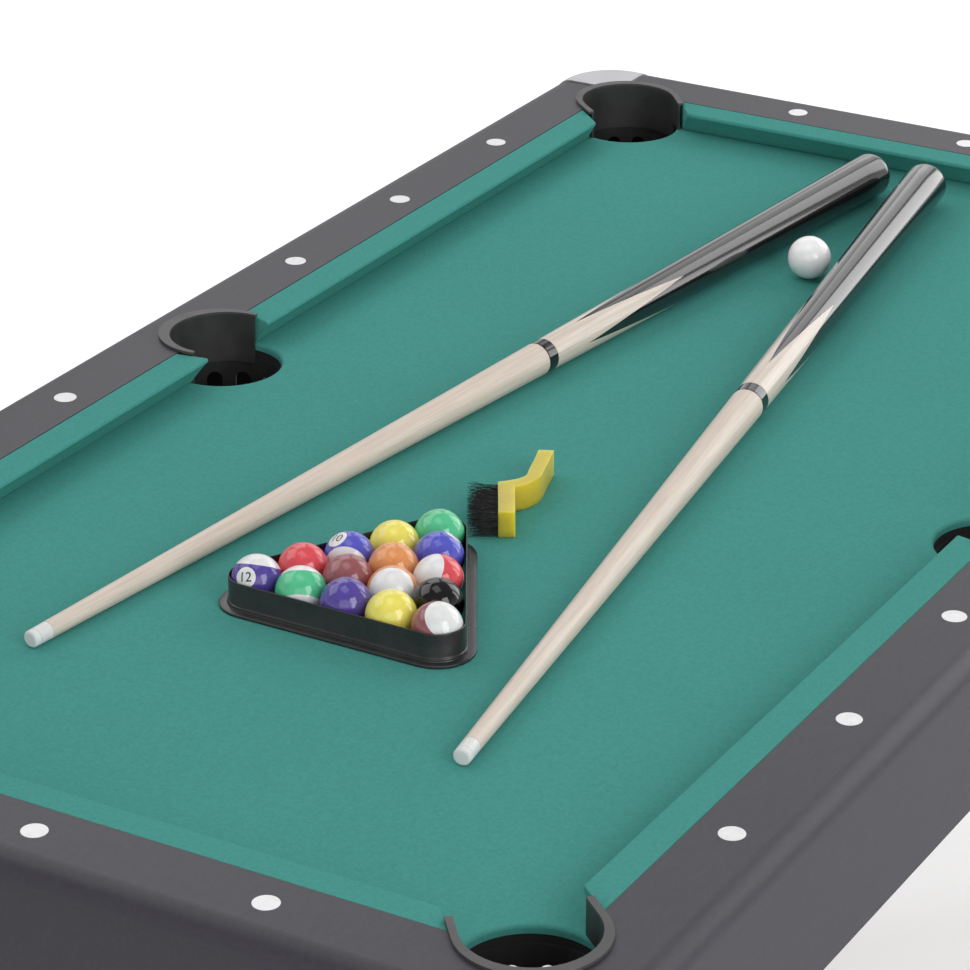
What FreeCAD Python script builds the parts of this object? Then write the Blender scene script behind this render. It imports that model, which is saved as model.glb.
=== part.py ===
import FreeCAD, Part
import math
import os
from FreeCAD import Vector

# Six-pocket home pool table with its playing set.
# Frame: origin on the floor under the middle, X along the table, Y across it, Z up. Millimetres.

# Heights
RAIL_TOP = 790.0
CLOTH_DROP = 30.8
CLOTH_T = 1.2
BED_T = 15.0
RAIL_T = 22.0
CABINET_DROP = 160.0
NOSE_DROP = 1.5
CLOTH_Z = RAIL_TOP - CLOTH_DROP
BED_Z = CLOTH_Z - CLOTH_T
BED_UNDER_Z = BED_Z - BED_T
RAIL_UNDER_Z = RAIL_TOP - RAIL_T
CABINET_Z = RAIL_TOP - CABINET_DROP
NOSE_Z = RAIL_TOP - NOSE_DROP

# Plan sizes (half lengths along X, half widths along Y)
OUTER_X = 976.5
OUTER_Y = 534.0
PANEL_INSET = 4.0
PANEL_T = 15.0
PANEL_IN_X = OUTER_X - PANEL_INSET - PANEL_T
PANEL_IN_Y = OUTER_Y - PANEL_INSET - PANEL_T
RAIL_ROUND = 20.0
RAIL_IN_X = 894.0
RAIL_IN_Y = 451.5
RAIL_END_X = 893.0
RAIL_END_Y = 448.0
NOSE_X = 862.5
NOSE_Y = 417.5
FOOT_BACK = 18.0
NOSE_FACE = 3.0
CORNER_ROUND = 72.0
CAP_PROUD = 1.5

# Pockets
CORNER_C_X = 862.7
CORNER_C_Y = 417.4
SIDE_C_Y = 435.6
CORNER_IN_R = 56.0
SIDE_IN_R = 56.3
LINER_T = 2.7
LINER_FIT = 0.3
LINER_DEPTH = 53.0
LINER_BOTTOM_Z = RAIL_TOP - LINER_DEPTH
LINER_SWEEP = 95.0
ARM_LENGTH = 28.0
FLANGE_T = 3.2
CORNER_FLANGE_R = 62.9
CORNER_FLANGE_SHIFT = 3.9
SIDE_FLANGE_R = 61.6
SIDE_FLANGE_C_Y = 443.2
SIDE_FLANGE_OVERHANG = 2.0
CLOTH_HOLE_R = 59.6
CLOTH_LIP_R = 2.5
CLOTH_WRAP = 8.0
CLOTH_LOW_Z = CLOTH_Z - CLOTH_WRAP
BASKET_T = 2.8
BASKET_DEPTH = 75.0
BASKET_BOTTOM_Z = BED_UNDER_Z - BASKET_DEPTH
BASKET_COLLAR_R = 72.0
BASKET_COLLAR_T = 3.0
BASKET_SLOTS = 12
BASKET_SLOT_W = 17.0
BASKET_SLOT_DROP = 19.0
BASKET_SLOT_RISE = 22.0
BASKET_SLOT_TOP_Z = BED_UNDER_Z - BASKET_SLOT_DROP
BASKET_SLOT_LOW_Z = BASKET_BOTTOM_Z + BASKET_SLOT_RISE

# Cushion mouths
SIDE_MOUTH_NOSE = 55.5
SIDE_MOUTH_BACK = 64.5
CORNER_MOUTH_NOSE_X = 780.0
CORNER_MOUTH_BACK_X = 809.0
CORNER_MOUTH_NOSE_Y = 336.0
CORNER_MOUTH_BACK_Y = 363.0

# Sights
SIGHT_R = 11.4
SIGHT_T = 3.4
SIGHT_PROUD = 0.4
SIGHT_FIT = 0.1
SIGHT_PITCH = 220.0
SIGHT_FIRST = 214.3
SIGHT_LINE_Y = 483.8
SIGHT_LINE_X = 928.4

# Frame under the bed, legs and levelling feet
BATTEN_W = 20.0
BATTEN_H = 25.0
BATTEN_X0 = 90.0
BATTEN_X1 = 680.0
BATTEN_END_Y = 330.0
BEAM_W = 30.0
BEAM_H = 43.0
BEAM_XS = (-600.0, -150.0, 150.0, 600.0)
LEG_X0 = 690.0
LEG_X1 = 780.0
LEG_W = 90.0
LEG_FOOT_W = 64.0
LEG_STRAIGHT = 123.0
LEG_TAPER_TOP_Z = BED_UNDER_Z - LEG_STRAIGHT
LEG_BOTTOM_Z = 27.0
LEG_CHAMFER = 3.0
BRACKET_T = 3.0
BRACKET_W = 70.0
BRACKET_DROP = 60.0
BRACKET_REACH = 42.0
SCREW_R = 3.0
SCREW_HEAD_R = 6.0
SCREW_HEAD_T = 3.0
SCREW_FIT = 0.1
LEG_SCREW_DEPTH = 30.0
BOARD_SCREW_DEPTH = 12.0
PAD_R = 25.0
PAD_T = 12.0
PAD_EDGE = 3.0
STEM_R = 5.0
STEM_TOP_Z = 82.0
STEM_BORE_TOP_Z = 90.0
STEM_FIT = 0.3
NUT_R = 9.8
NUT_T = 6.0

# Rail bolts
BOLT_R = 4.0
BOLT_HEAD_R = 8.0
BOLT_HEAD_T = 5.0
BOLT_FIT = 0.1
BOLT_COVER = 11.0
BOLT_TOP_Z = RAIL_TOP - BOLT_COVER
SIDE_BOLT_XS = (-805.0, -640.0, -375.0, -110.0, 110.0, 375.0, 640.0, 805.0)
END_BOLT_YS = (-280.0, -110.0, 110.0, 280.0)

# Balls and rack
BALL_D = 47.7
BALL_LIFT = 0.1
RACK_ROWS = 5
RACK_FIRST = (-450.8, 100.5)
RACK_TURN = -30.0
CUE_BALL_AT = (520.7, 9.6)
RACK_T = 1.4
RACK_H = 30.0
RACK_FIT = 0.9
RACK_FLANGE_W = 9.0
RACK_FLANGE_T = 3.0
RACK_LIFT = 0.2
RACK_CORNER_TURN = 120.0
RACK_CORNER_CELLS = 4
BALL_NODES = {
    (0, 0): "ball_12", (1, 0): "ball_03", (2, 0): "ball_10", (3, 0): "ball_01", (4, 0): "ball_06",
    (0, 1): "ball_14", (1, 1): "ball_07", (2, 1): "ball_05", (3, 1): "ball_02",
    (0, 2): "ball_04", (1, 2): "ball_13", (2, 2): "ball_11",
    (0, 3): "ball_09", (1, 3): "ball_08",
    (0, 4): "ball_15",
}

# Cues: the butt's end and the heading on the cloth, and the cue's own lengths from the tip
CUE_LIFT = 0.3
CUE_TIP_R = 8.2
CUE_SLOPE = 0.0121
CUE_LENGTH = 1439.0
TIP_LENGTH = 7.0
FERRULE_END = 22.5
RING_START = {"cue_1": 767.5, "cue_2": 766.8}
RING_WIDTH = {"cue_1": 14.0, "cue_2": 17.0}
TIP_ROUND = 2.5
BUTT_ROUND = 17.0
PIN_R = 4.0
PIN_REACH = 22.0
PIN_FIT = 0.3
PIN_END_GAP = 1.0
FACE_GAP = 0.3
CUES = {
    "cue_1": ((801.8, 57.4), (0.993063, -0.117584)),
    "cue_2": ((803.0, -7.2), (0.989576, 0.144012)),
}

# Table brush, lying on its side
BRUSH_AT = (-222.9, -22.05)
BRUSH_TURN = 30.0
BRUSH_LIFT = 0.2
BRUSH_H = 27.0
BLOCK_T = 16.0
BLOCK_L = 67.4
BRISTLE_OUT = 28.0
BRISTLE_MARGIN = 1.0
HANDLE_PATH_OUT = ((0.0, 67.4), (8.9, 70.4), (15.3, 73.0), (21.7, 76.7), (26.5, 81.5), (29.2, 91.5),
                   (33.7, 111.4), (39.9, 141.6))
HANDLE_PATH_IN = ((54.8, 140.3), (49.2, 114.5), (44.4, 94.0), (41.8, 83.8), (37.6, 74.6), (31.0, 66.6),
                  (24.0, 61.4), (16.0, 57.5))


def box(x0, x1, y0, y1, z0, z1):
    return Part.makeBox(x1 - x0, y1 - y0, z1 - z0, Vector(x0, y0, z0))


def cylinder(radius, z0, z1, x=0.0, y=0.0):
    return Part.makeCylinder(radius, z1 - z0, Vector(x, y, z0), Vector(0, 0, 1))


def prism(points, z0, z1):
    corners = [Vector(x, y, z0) for x, y in points]
    corners.append(corners[0])
    return Part.Face(Part.makePolygon(corners)).extrude(Vector(0, 0, z1 - z0))


def edges_wire(edges):
    return Part.Face(Part.Wire(edges))


def revolve(points, x=0.0, y=0.0):
    corners = [Vector(x + r, y, z) for r, z in points]
    corners.append(corners[0])
    face = Part.Face(Part.makePolygon(corners))
    return face.revolve(Vector(x, y, 0), Vector(0, 0, 1), 360)


def flip_x(shape):
    return shape.mirror(Vector(0, 0, 0), Vector(1, 0, 0))


def flip_y(shape):
    return shape.mirror(Vector(0, 0, 0), Vector(0, 1, 0))


def four(shape):
    pair = [shape, flip_x(shape)]
    return pair + [flip_y(one) for one in pair]


def join(shapes):
    return shapes[0].multiFuse(shapes[1:]).removeSplitter()


def together(shapes):
    solids = []
    for shape in shapes:
        solids.extend(shape.Solids)
    return solids[0] if len(solids) == 1 else Part.makeCompound(solids)


def write(name, shape):
    solids = shape.Solids
    good = bool(solids) and all(one.isValid() and one.Volume > 0 for one in solids)
    if not good:
        raise ValueError("bad solid in " + name)
    shape.exportStep("parts/" + name + ".step")
    print(name, len(solids), round(sum(one.Volume for one in solids) / 1000.0, 1))


def pocket_centres():
    corners = [(sx * CORNER_C_X, sy * CORNER_C_Y) for sx in (-1, 1) for sy in (-1, 1)]
    sides = [(0.0, sy * SIDE_C_Y) for sy in (-1, 1)]
    return corners, sides


CORNERS, SIDES = pocket_centres()
CORNER_OUT_R = CORNER_IN_R + LINER_T
SIDE_OUT_R = SIDE_IN_R + LINER_T


def liner_bores(z0, z1):
    bores = [cylinder(CORNER_OUT_R + LINER_FIT, z0, z1, x, y) for x, y in CORNERS]
    return bores + [cylinder(SIDE_OUT_R + LINER_FIT, z0, z1, x, y) for x, y in SIDES]


def arm_reliefs(z0, z1):
    # Room for the liners' arms where they run straight past the round bores
    half = math.radians(LINER_SWEEP)
    radius = CORNER_OUT_R + LINER_FIT
    x0, y0 = radius * math.cos(half), radius * math.sin(half)
    x1, y1 = x0 - ARM_LENGTH * math.sin(half), y0 + ARM_LENGTH * math.cos(half)
    relief = prism([(x0, y0), (x1, y1), (x1, -y1), (x0, -y0)], z0, z1)
    relief.rotate(Vector(0, 0, 0), Vector(0, 0, 1), 45)
    relief.translate(Vector(CORNER_C_X, CORNER_C_Y, 0))
    return four(relief)


def lipped_bore(hole_r, lip_r, top_z, low_z, x, y):
    # A bore whose upper edge is rounded over
    flat = hole_r + lip_r
    mid = lip_r * math.sin(math.radians(45.0))
    start = Vector(x + flat, y, top_z)
    bend = Vector(x + flat - mid, y, top_z - lip_r + mid)
    end = Vector(x + hole_r, y, top_z - lip_r)
    axis_low = Vector(x, y, low_z)
    axis_top = Vector(x, y, top_z)
    foot = Vector(x + hole_r, y, low_z)
    edges = [
        Part.LineSegment(axis_low, axis_top).toShape(),
        Part.LineSegment(axis_top, start).toShape(),
        Part.Arc(start, bend, end).toShape(),
        Part.LineSegment(end, foot).toShape(),
        Part.LineSegment(foot, axis_low).toShape(),
    ]
    return edges_wire(edges).revolve(Vector(x, y, 0), Vector(0, 0, 1), 360)


def bolt_places():
    places = [(x, sy * SIGHT_LINE_Y) for x in SIDE_BOLT_XS for sy in (-1, 1)]
    return places + [(sx * SIGHT_LINE_X, y) for y in END_BOLT_YS for sx in (-1, 1)]


def sight_places():
    along = [sign * (SIGHT_FIRST + k * SIGHT_PITCH) for k in range(3) for sign in (-1, 1)]
    places = [(x, sy * SIGHT_LINE_Y) for x in along for sy in (-1, 1)]
    return places + [(sx * SIGHT_LINE_X, k * SIGHT_PITCH) for k in (-1, 0, 1) for sx in (-1, 1)]


# Bed board and its cloth
BED_CORNER_R = CORNER_ROUND - (OUTER_X - PANEL_IN_X)


def rounded_plate(half_x, half_y, radius, z0, z1):
    plate = box(-half_x, half_x, -half_y, half_y, z0, z1)
    upright = []
    for edge in plate.Edges:
        first, last = edge.Vertexes[0].Point, edge.Vertexes[-1].Point
        if abs(first.z - last.z) > z1 - z0 - 0.001:
            upright.append(edge)
    return plate.makeFillet(radius, upright)


def make_bed():
    board = rounded_plate(PANEL_IN_X, PANEL_IN_Y, BED_CORNER_R, BED_UNDER_Z, BED_Z)
    bores = []
    for x, y in CORNERS + SIDES:
        bores.append(lipped_bore(CLOTH_HOLE_R + CLOTH_T, CLOTH_LIP_R, BED_Z, BED_UNDER_Z, x, y))
    for x, y in bolt_places():
        bores.append(cylinder(BOLT_R + BOLT_FIT, BED_UNDER_Z, BED_Z, x, y))
    for x, y in board_screw_places():
        bores.append(cylinder(SCREW_R + SCREW_FIT, BED_UNDER_Z, BED_UNDER_Z + BOARD_SCREW_DEPTH, x, y))
    return board.cut(Part.makeCompound(bores))


def make_cloth():
    # The flat of the bed, and the edges rolled down into the six pockets
    outer = box(-RAIL_IN_X, RAIL_IN_X, -RAIL_IN_Y, RAIL_IN_Y, CLOTH_LOW_Z, CLOTH_Z)
    sheet = box(-RAIL_IN_X, RAIL_IN_X, -RAIL_IN_Y, RAIL_IN_Y, BED_Z, CLOTH_Z)
    flat = CLOTH_HOLE_R + CLOTH_T + CLOTH_LIP_R
    mouths = [cylinder(flat, BED_Z, CLOTH_Z, x, y) for x, y in CORNERS + SIDES]
    cloth = sheet.cut(Part.makeCompound(mouths))
    lips = []
    for x, y in CORNERS + SIDES:
        full = cylinder(flat, CLOTH_LOW_Z, CLOTH_Z, x, y)
        over = lipped_bore(CLOTH_HOLE_R, CLOTH_LIP_R + CLOTH_T, CLOTH_Z, CLOTH_LOW_Z, x, y)
        under = lipped_bore(CLOTH_HOLE_R + CLOTH_T, CLOTH_LIP_R, BED_Z, CLOTH_LOW_Z, x, y)
        band = under.fuse(cylinder(flat, BED_Z, CLOTH_Z, x, y)).cut(over)
        lips.append(band.common(full).common(outer))
    return together([cloth] + lips)


# Rails, cushions, sights and corner castings
def rail_face(inner, panel_in, outer, across):
    # Section of a rail: stepped underside over the panel, rounded outer top edge
    mid = RAIL_ROUND * math.sin(math.radians(45.0))
    centre = outer - RAIL_ROUND
    low = RAIL_TOP - RAIL_ROUND
    line = [(inner, RAIL_TOP), (inner, BED_Z), (panel_in, BED_Z), (panel_in, RAIL_UNDER_Z)]
    line += [(outer, RAIL_UNDER_Z), (outer, low)]
    points = [across(a, z) for a, z in line]
    bend = across(centre + mid, low + mid)
    top = across(centre, RAIL_TOP)
    edges = [Part.LineSegment(p, q).toShape() for p, q in zip(points[:-1], points[1:])]
    edges.append(Part.Arc(points[-1], bend, top).toShape())
    edges.append(Part.LineSegment(top, points[0]).toShape())
    return edges_wire(edges)


def rail_holes():
    holes = liner_bores(BED_Z, RAIL_TOP) + arm_reliefs(BED_Z, RAIL_TOP)
    for x, y in bolt_places():
        holes.append(cylinder(BOLT_R + BOLT_FIT, BED_Z, BOLT_TOP_Z, x, y))
    seat = RAIL_TOP + SIGHT_PROUD - SIGHT_T
    for x, y in sight_places():
        holes.append(cylinder(SIGHT_R + SIGHT_FIT, seat, RAIL_TOP + SIGHT_T, x, y))
    return Part.makeCompound(holes)


def make_side_rail():
    face = rail_face(RAIL_IN_Y, PANEL_IN_Y, OUTER_Y, lambda a, z: Vector(-RAIL_END_X, a, z))
    return face.extrude(Vector(2 * RAIL_END_X, 0, 0)).cut(rail_holes())


def make_end_rail():
    face = rail_face(RAIL_IN_X, PANEL_IN_X, OUTER_X, lambda a, z: Vector(a, -RAIL_END_Y, z))
    return face.extrude(Vector(0, 2 * RAIL_END_Y, 0)).cut(rail_holes())


def cushion_face(nose, back, across):
    foot = nose + FOOT_BACK
    line = [(back, CLOTH_Z), (foot, CLOTH_Z), (nose, NOSE_Z - NOSE_FACE), (nose, NOSE_Z - 1.0)]
    line += [(nose + 1.0, NOSE_Z), (back, RAIL_TOP)]
    points = [across(a, z) for a, z in line]
    points.append(points[0])
    return Part.Face(Part.makePolygon(points))


def trim_line(nose_at, back_at, nose, back, reach):
    # The slanted end cut carried a little beyond the nose and the back
    slope = (back_at - nose_at) / (back - nose)
    return (nose_at - slope * reach, nose - reach), (back_at + slope * reach, back + reach)


def make_side_cushion():
    face = cushion_face(NOSE_Y, RAIL_IN_Y, lambda a, z: Vector(0, a, z))
    bar = face.extrude(Vector(RAIL_IN_X, 0, 0))
    low0, high0 = trim_line(SIDE_MOUTH_NOSE, SIDE_MOUTH_BACK, NOSE_Y, RAIL_IN_Y, CLOTH_DROP)
    low1, high1 = trim_line(CORNER_MOUTH_NOSE_X, CORNER_MOUTH_BACK_X, NOSE_Y, RAIL_IN_Y, CLOTH_DROP)
    return bar.common(prism([low0, low1, high1, high0], BED_Z, RAIL_TOP + CLOTH_DROP))


def make_end_cushion():
    face = cushion_face(NOSE_X, RAIL_IN_X, lambda a, z: Vector(a, -RAIL_END_Y, z))
    bar = face.extrude(Vector(0, 2 * RAIL_END_Y, 0))
    low, high = trim_line(CORNER_MOUTH_NOSE_Y, CORNER_MOUTH_BACK_Y, NOSE_X, RAIL_IN_X, CLOTH_DROP)
    plan = [(low[1], low[0]), (high[1], high[0]), (high[1], -high[0]), (low[1], -low[0])]
    return bar.common(prism(plan, BED_Z, RAIL_TOP + CLOTH_DROP))


def make_sights():
    low = RAIL_TOP + SIGHT_PROUD - SIGHT_T
    discs = []
    for x, y in sight_places():
        disc = cylinder(SIGHT_R, low, RAIL_TOP + SIGHT_PROUD, x, y)
        rim = [edge for edge in disc.Edges if edge.BoundBox.ZMin > low + SIGHT_PROUD]
        discs.append(disc.makeFillet(0.35, [edge for edge in rim if len(edge.Vertexes) == 1]))
    return together(discs)


def corner_outline(inset, x0, y0):
    # Plan of the table's rounded corner, set in from the outside by inset
    radius = CORNER_ROUND - inset
    cx, cy = OUTER_X - CORNER_ROUND, OUTER_Y - CORNER_ROUND
    mid = radius * math.sin(math.radians(45.0))
    a = Vector(x0, y0, 0)
    b = Vector(x0, cy + radius, 0)
    c = Vector(cx, cy + radius, 0)
    d = Vector(cx + mid, cy + mid, 0)
    e = Vector(cx + radius, cy, 0)
    f = Vector(cx + radius, y0, 0)
    edges = [
        Part.LineSegment(a, b).toShape(),
        Part.LineSegment(b, c).toShape(),
        Part.Arc(c, d, e).toShape(),
        Part.LineSegment(e, f).toShape(),
        Part.LineSegment(f, a).toShape(),
    ]
    return edges_wire(edges)


def make_corner_cap():
    top = RAIL_TOP + CAP_PROUD
    shell = corner_outline(0.0, RAIL_END_X, RAIL_END_Y)
    shell.translate(Vector(0, 0, CABINET_Z))
    shell = shell.extrude(Vector(0, 0, top - CABINET_Z))
    rim = []
    for edge in shell.Edges:
        b = edge.BoundBox
        if b.ZMin > top - 0.01 and (b.YMax > OUTER_Y - 0.01 or b.XMax > OUTER_X - 0.01):
            if b.YMin > OUTER_Y - CORNER_ROUND - 0.01 or b.XMin > OUTER_X - CORNER_ROUND - 0.01:
                straight_side = b.XLength < 0.01 and b.XMax < OUTER_X - 0.01
                straight_end = b.YLength < 0.01 and b.YMax < OUTER_Y - 0.01
                if not (straight_side or straight_end):
                    rim.append(edge)
    shell = shell.makeFillet(RAIL_ROUND, rim)
    hollow = corner_outline(OUTER_X - PANEL_IN_X, RAIL_END_X - PANEL_T, RAIL_END_Y - PANEL_T)
    hollow.translate(Vector(0, 0, CABINET_Z - PANEL_T))
    hollow = hollow.extrude(Vector(0, 0, BED_Z - CABINET_Z + PANEL_T))
    bore = cylinder(CORNER_OUT_R + LINER_FIT, BED_UNDER_Z, top + CAP_PROUD, CORNER_C_X, CORNER_C_Y)
    shift = CORNER_FLANGE_SHIFT * math.sin(math.radians(45.0))
    seat_r = CORNER_FLANGE_R + LINER_FIT
    seat = cylinder(seat_r, RAIL_TOP, top + CAP_PROUD, CORNER_C_X + shift, CORNER_C_Y + shift)
    return shell.cut(hollow).cut(bore).cut(seat)


# Pocket liners and baskets
def horseshoe(inner_r, outer_r, shift, sweep, arms, z0, z1):
    # Band about the origin opening towards -X, with arms carried on along the tangents
    half = math.radians(sweep)

    def at(radius, angle, offset):
        return Vector(offset + radius * math.cos(angle), radius * math.sin(angle), z0)

    lean = Vector(-math.sin(half), math.cos(half), 0)
    inner_top, inner_low = at(inner_r, half, 0.0), at(inner_r, -half, 0.0)
    outer_top, outer_low = at(outer_r, half, shift), at(outer_r, -half, shift)
    edges = [
        Part.Arc(outer_low, at(outer_r, 0.0, shift), outer_top).toShape(),
        Part.Arc(inner_top, at(inner_r, 0.0, 0.0), inner_low).toShape(),
    ]
    if arms > 0:
        lean_low = Vector(lean.x, -lean.y, 0)
        reach_top = lean * (arms + (outer_top - inner_top).dot(lean) * -1.0)
        reach_low = lean_low * (arms + (outer_low - inner_low).dot(lean_low) * -1.0)
        tip_out, tip_in = outer_top + reach_top, inner_top + lean * arms
        low_out, low_in = outer_low + reach_low, inner_low + lean_low * arms
        edges.append(Part.LineSegment(outer_top, tip_out).toShape())
        edges.append(Part.LineSegment(tip_out, tip_in).toShape())
        edges.append(Part.LineSegment(tip_in, inner_top).toShape())
        edges.append(Part.LineSegment(inner_low, low_in).toShape())
        edges.append(Part.LineSegment(low_in, low_out).toShape())
        edges.append(Part.LineSegment(low_out, outer_low).toShape())
    else:
        edges.append(Part.LineSegment(outer_top, inner_top).toShape())
        edges.append(Part.LineSegment(inner_low, outer_low).toShape())
    wire = Part.Wire(Part.__sortEdges__(edges))
    return Part.Face(wire).extrude(Vector(0, 0, z1 - z0))


def make_corner_liner():
    deep = horseshoe(CORNER_IN_R, CORNER_OUT_R, 0.0, LINER_SWEEP, 0.0, LINER_BOTTOM_Z, RAIL_TOP)
    wall = horseshoe(CORNER_IN_R, CORNER_OUT_R, 0.0, LINER_SWEEP, ARM_LENGTH, CLOTH_Z, RAIL_TOP)
    lip = horseshoe(CORNER_IN_R, CORNER_FLANGE_R, CORNER_FLANGE_SHIFT, LINER_SWEEP, ARM_LENGTH,
                    RAIL_TOP, RAIL_TOP + FLANGE_T)
    liner = join([deep, wall, lip])
    liner.rotate(Vector(0, 0, 0), Vector(0, 0, 1), 45)
    liner.translate(Vector(CORNER_C_X, CORNER_C_Y, 0))
    return liner


def make_side_liner():
    ring = cylinder(SIDE_OUT_R, LINER_BOTTOM_Z, RAIL_TOP, 0, SIDE_C_Y)
    half = box(-SIDE_FLANGE_R, SIDE_FLANGE_R, SIDE_C_Y, SIDE_C_Y + SIDE_FLANGE_R + CLOTH_DROP,
               LINER_BOTTOM_Z, RAIL_TOP)
    lip = cylinder(SIDE_FLANGE_R, RAIL_TOP, RAIL_TOP + FLANGE_T, 0, SIDE_FLANGE_C_Y)
    lip_half = box(-SIDE_FLANGE_R, SIDE_FLANGE_R, SIDE_C_Y - SIDE_FLANGE_OVERHANG,
                   SIDE_C_Y + SIDE_FLANGE_R + CLOTH_DROP, RAIL_TOP, RAIL_TOP + FLANGE_T)
    body = join([ring.common(half), lip.common(lip_half)])
    return body.cut(cylinder(SIDE_IN_R, LINER_BOTTOM_Z, RAIL_TOP + FLANGE_T, 0, SIDE_C_Y))


def make_basket(x, y, inner_r):
    outer_r = inner_r + BASKET_T
    floor = BASKET_BOTTOM_Z + BASKET_T
    collar_low = BED_UNDER_Z - BASKET_COLLAR_T
    bend = BASKET_SLOT_W
    profile = [
        (0.0, BASKET_BOTTOM_Z), (outer_r - bend, BASKET_BOTTOM_Z), (outer_r, BASKET_BOTTOM_Z + bend),
        (outer_r, collar_low), (BASKET_COLLAR_R, collar_low), (BASKET_COLLAR_R, BED_UNDER_Z),
        (inner_r, BED_UNDER_Z), (inner_r, BASKET_BOTTOM_Z + bend), (inner_r - bend, floor),
        (0.0, floor),
    ]
    cup = revolve(profile, x, y)
    slots = []
    half = BASKET_SLOT_W / 2.0
    crown = BASKET_SLOT_TOP_Z - half
    for k in range(BASKET_SLOTS):
        slot = box(inner_r - half, outer_r + half, -half, half, BASKET_SLOT_LOW_Z, crown)
        start = Vector(inner_r - half, 0, crown)
        arch = Part.makeCylinder(half, BASKET_SLOT_W + BASKET_T, start, Vector(1, 0, 0))
        slot = slot.fuse(arch)
        slot.rotate(Vector(0, 0, 0), Vector(0, 0, 1), (k + 0.5) * 360.0 / BASKET_SLOTS)
        slot.translate(Vector(x, y, 0))
        slots.append(slot)
    return cup.cut(Part.makeCompound(slots))


# Cabinet panels, frame under the bed, legs and feet
def make_side_panel():
    return box(-RAIL_END_X, RAIL_END_X, PANEL_IN_Y, PANEL_IN_Y + PANEL_T, CABINET_Z, RAIL_UNDER_Z)


def make_end_panel():
    return box(PANEL_IN_X, PANEL_IN_X + PANEL_T, -RAIL_END_Y, RAIL_END_Y, CABINET_Z, RAIL_UNDER_Z)


def make_bed_frame():
    batten_z = BED_UNDER_Z - BATTEN_H
    inner_y = PANEL_IN_Y - BATTEN_W
    pieces = []
    for sx in (0, 1):
        for sy in (0, 1):
            batten = box(BATTEN_X0, BATTEN_X1, inner_y, PANEL_IN_Y, batten_z, BED_UNDER_Z)
            for x, y in bolt_places():
                batten = batten.cut(cylinder(BOLT_HEAD_R + 1.0, batten_z, BED_UNDER_Z, x, y))
            batten = flip_x(batten) if sx else batten
            pieces.append(flip_y(batten) if sy else batten)
    for sx in (0, 1):
        end = box(PANEL_IN_X - BATTEN_W, PANEL_IN_X, -BATTEN_END_Y, BATTEN_END_Y, batten_z, BED_UNDER_Z)
        for x, y in bolt_places():
            end = end.cut(cylinder(BOLT_HEAD_R + 1.0, batten_z, BED_UNDER_Z, x, y))
        pieces.append(flip_x(end) if sx else end)
    for x in BEAM_XS:
        half = BEAM_W / 2.0
        pieces.append(box(x - half, x + half, -inner_y, inner_y, BED_UNDER_Z - BEAM_H, BED_UNDER_Z))
    return together(pieces)


LEG_MID_X = (LEG_X0 + LEG_X1) / 2.0
LEG_MID_Y = PANEL_IN_Y - LEG_W / 2.0


def leg_screw_heights():
    return (BED_UNDER_Z - BRACKET_DROP * 0.75, BED_UNDER_Z - BRACKET_DROP * 0.35)


def leg_screw_xs():
    return (LEG_MID_X - BRACKET_W * 0.3, LEG_MID_X + BRACKET_W * 0.3)


def board_screw_places():
    y = LEG_MID_Y - LEG_W / 2.0 - BRACKET_REACH / 2.0
    return [(sx * x, sy * y) for x in leg_screw_xs() for sx in (-1, 1) for sy in (-1, 1)]


def leg_screw(x, y, z, radius, head_r, depth):
    # A screw through the bracket into the leg, along +Y from the bracket's inner face
    shaft = Part.makeCylinder(radius, depth + BRACKET_T, Vector(x, y - BRACKET_T, z), Vector(0, 1, 0))
    start = Vector(x, y - BRACKET_T - SCREW_HEAD_T, z)
    head = Part.makeCylinder(head_r, SCREW_HEAD_T, start, Vector(0, 1, 0))
    return shaft.fuse(head)


def make_leg():
    half_top, half_low = LEG_W / 2.0, LEG_FOOT_W / 2.0
    x0, x1 = LEG_MID_X - half_top, LEG_MID_X + half_top
    y0, y1 = LEG_MID_Y - half_top, LEG_MID_Y + half_top
    straight = box(x0, x1, y0, y1, LEG_TAPER_TOP_Z, BED_UNDER_Z)

    def square(half, z):
        corners = [(-half, -half), (half, -half), (half, half), (-half, half), (-half, -half)]
        return Part.makePolygon([Vector(LEG_MID_X + x, LEG_MID_Y + y, z) for x, y in corners])

    taper = Part.makeLoft([square(half_low, LEG_BOTTOM_Z), square(half_top, LEG_TAPER_TOP_Z)], True, True)
    leg = join([straight, taper])
    foot = [edge for edge in leg.Edges if edge.BoundBox.ZMax < LEG_BOTTOM_Z + 0.01]
    leg = leg.makeChamfer(LEG_CHAMFER, foot)
    bore = cylinder(STEM_R + STEM_FIT, LEG_BOTTOM_Z, STEM_BORE_TOP_Z, LEG_MID_X, LEG_MID_Y)
    leg = leg.cut(bore)
    radius = SCREW_R + SCREW_FIT
    for z in leg_screw_heights():
        for x in leg_screw_xs():
            hole = Part.makeCylinder(radius, LEG_SCREW_DEPTH, Vector(x, y0, z), Vector(0, 1, 0))
            leg = leg.cut(hole)
    return leg


def make_bracket():
    y = LEG_MID_Y - LEG_W / 2.0
    x0, x1 = LEG_MID_X - BRACKET_W / 2.0, LEG_MID_X + BRACKET_W / 2.0
    under = BED_UNDER_Z - BRACKET_T
    upright = box(x0, x1, y - BRACKET_T, y, BED_UNDER_Z - BRACKET_DROP, BED_UNDER_Z)
    flat = box(x0, x1, y - BRACKET_REACH, y, under, BED_UNDER_Z)
    bracket = join([upright, flat])
    radius = SCREW_R + SCREW_FIT
    for x in leg_screw_xs():
        bracket = bracket.cut(cylinder(radius, under, BED_UNDER_Z, x, y - BRACKET_REACH / 2.0))
        for z in leg_screw_heights():
            start = Vector(x, y - BRACKET_T, z)
            bracket = bracket.cut(Part.makeCylinder(radius, BRACKET_T, start, Vector(0, 1, 0)))
    return bracket


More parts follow.
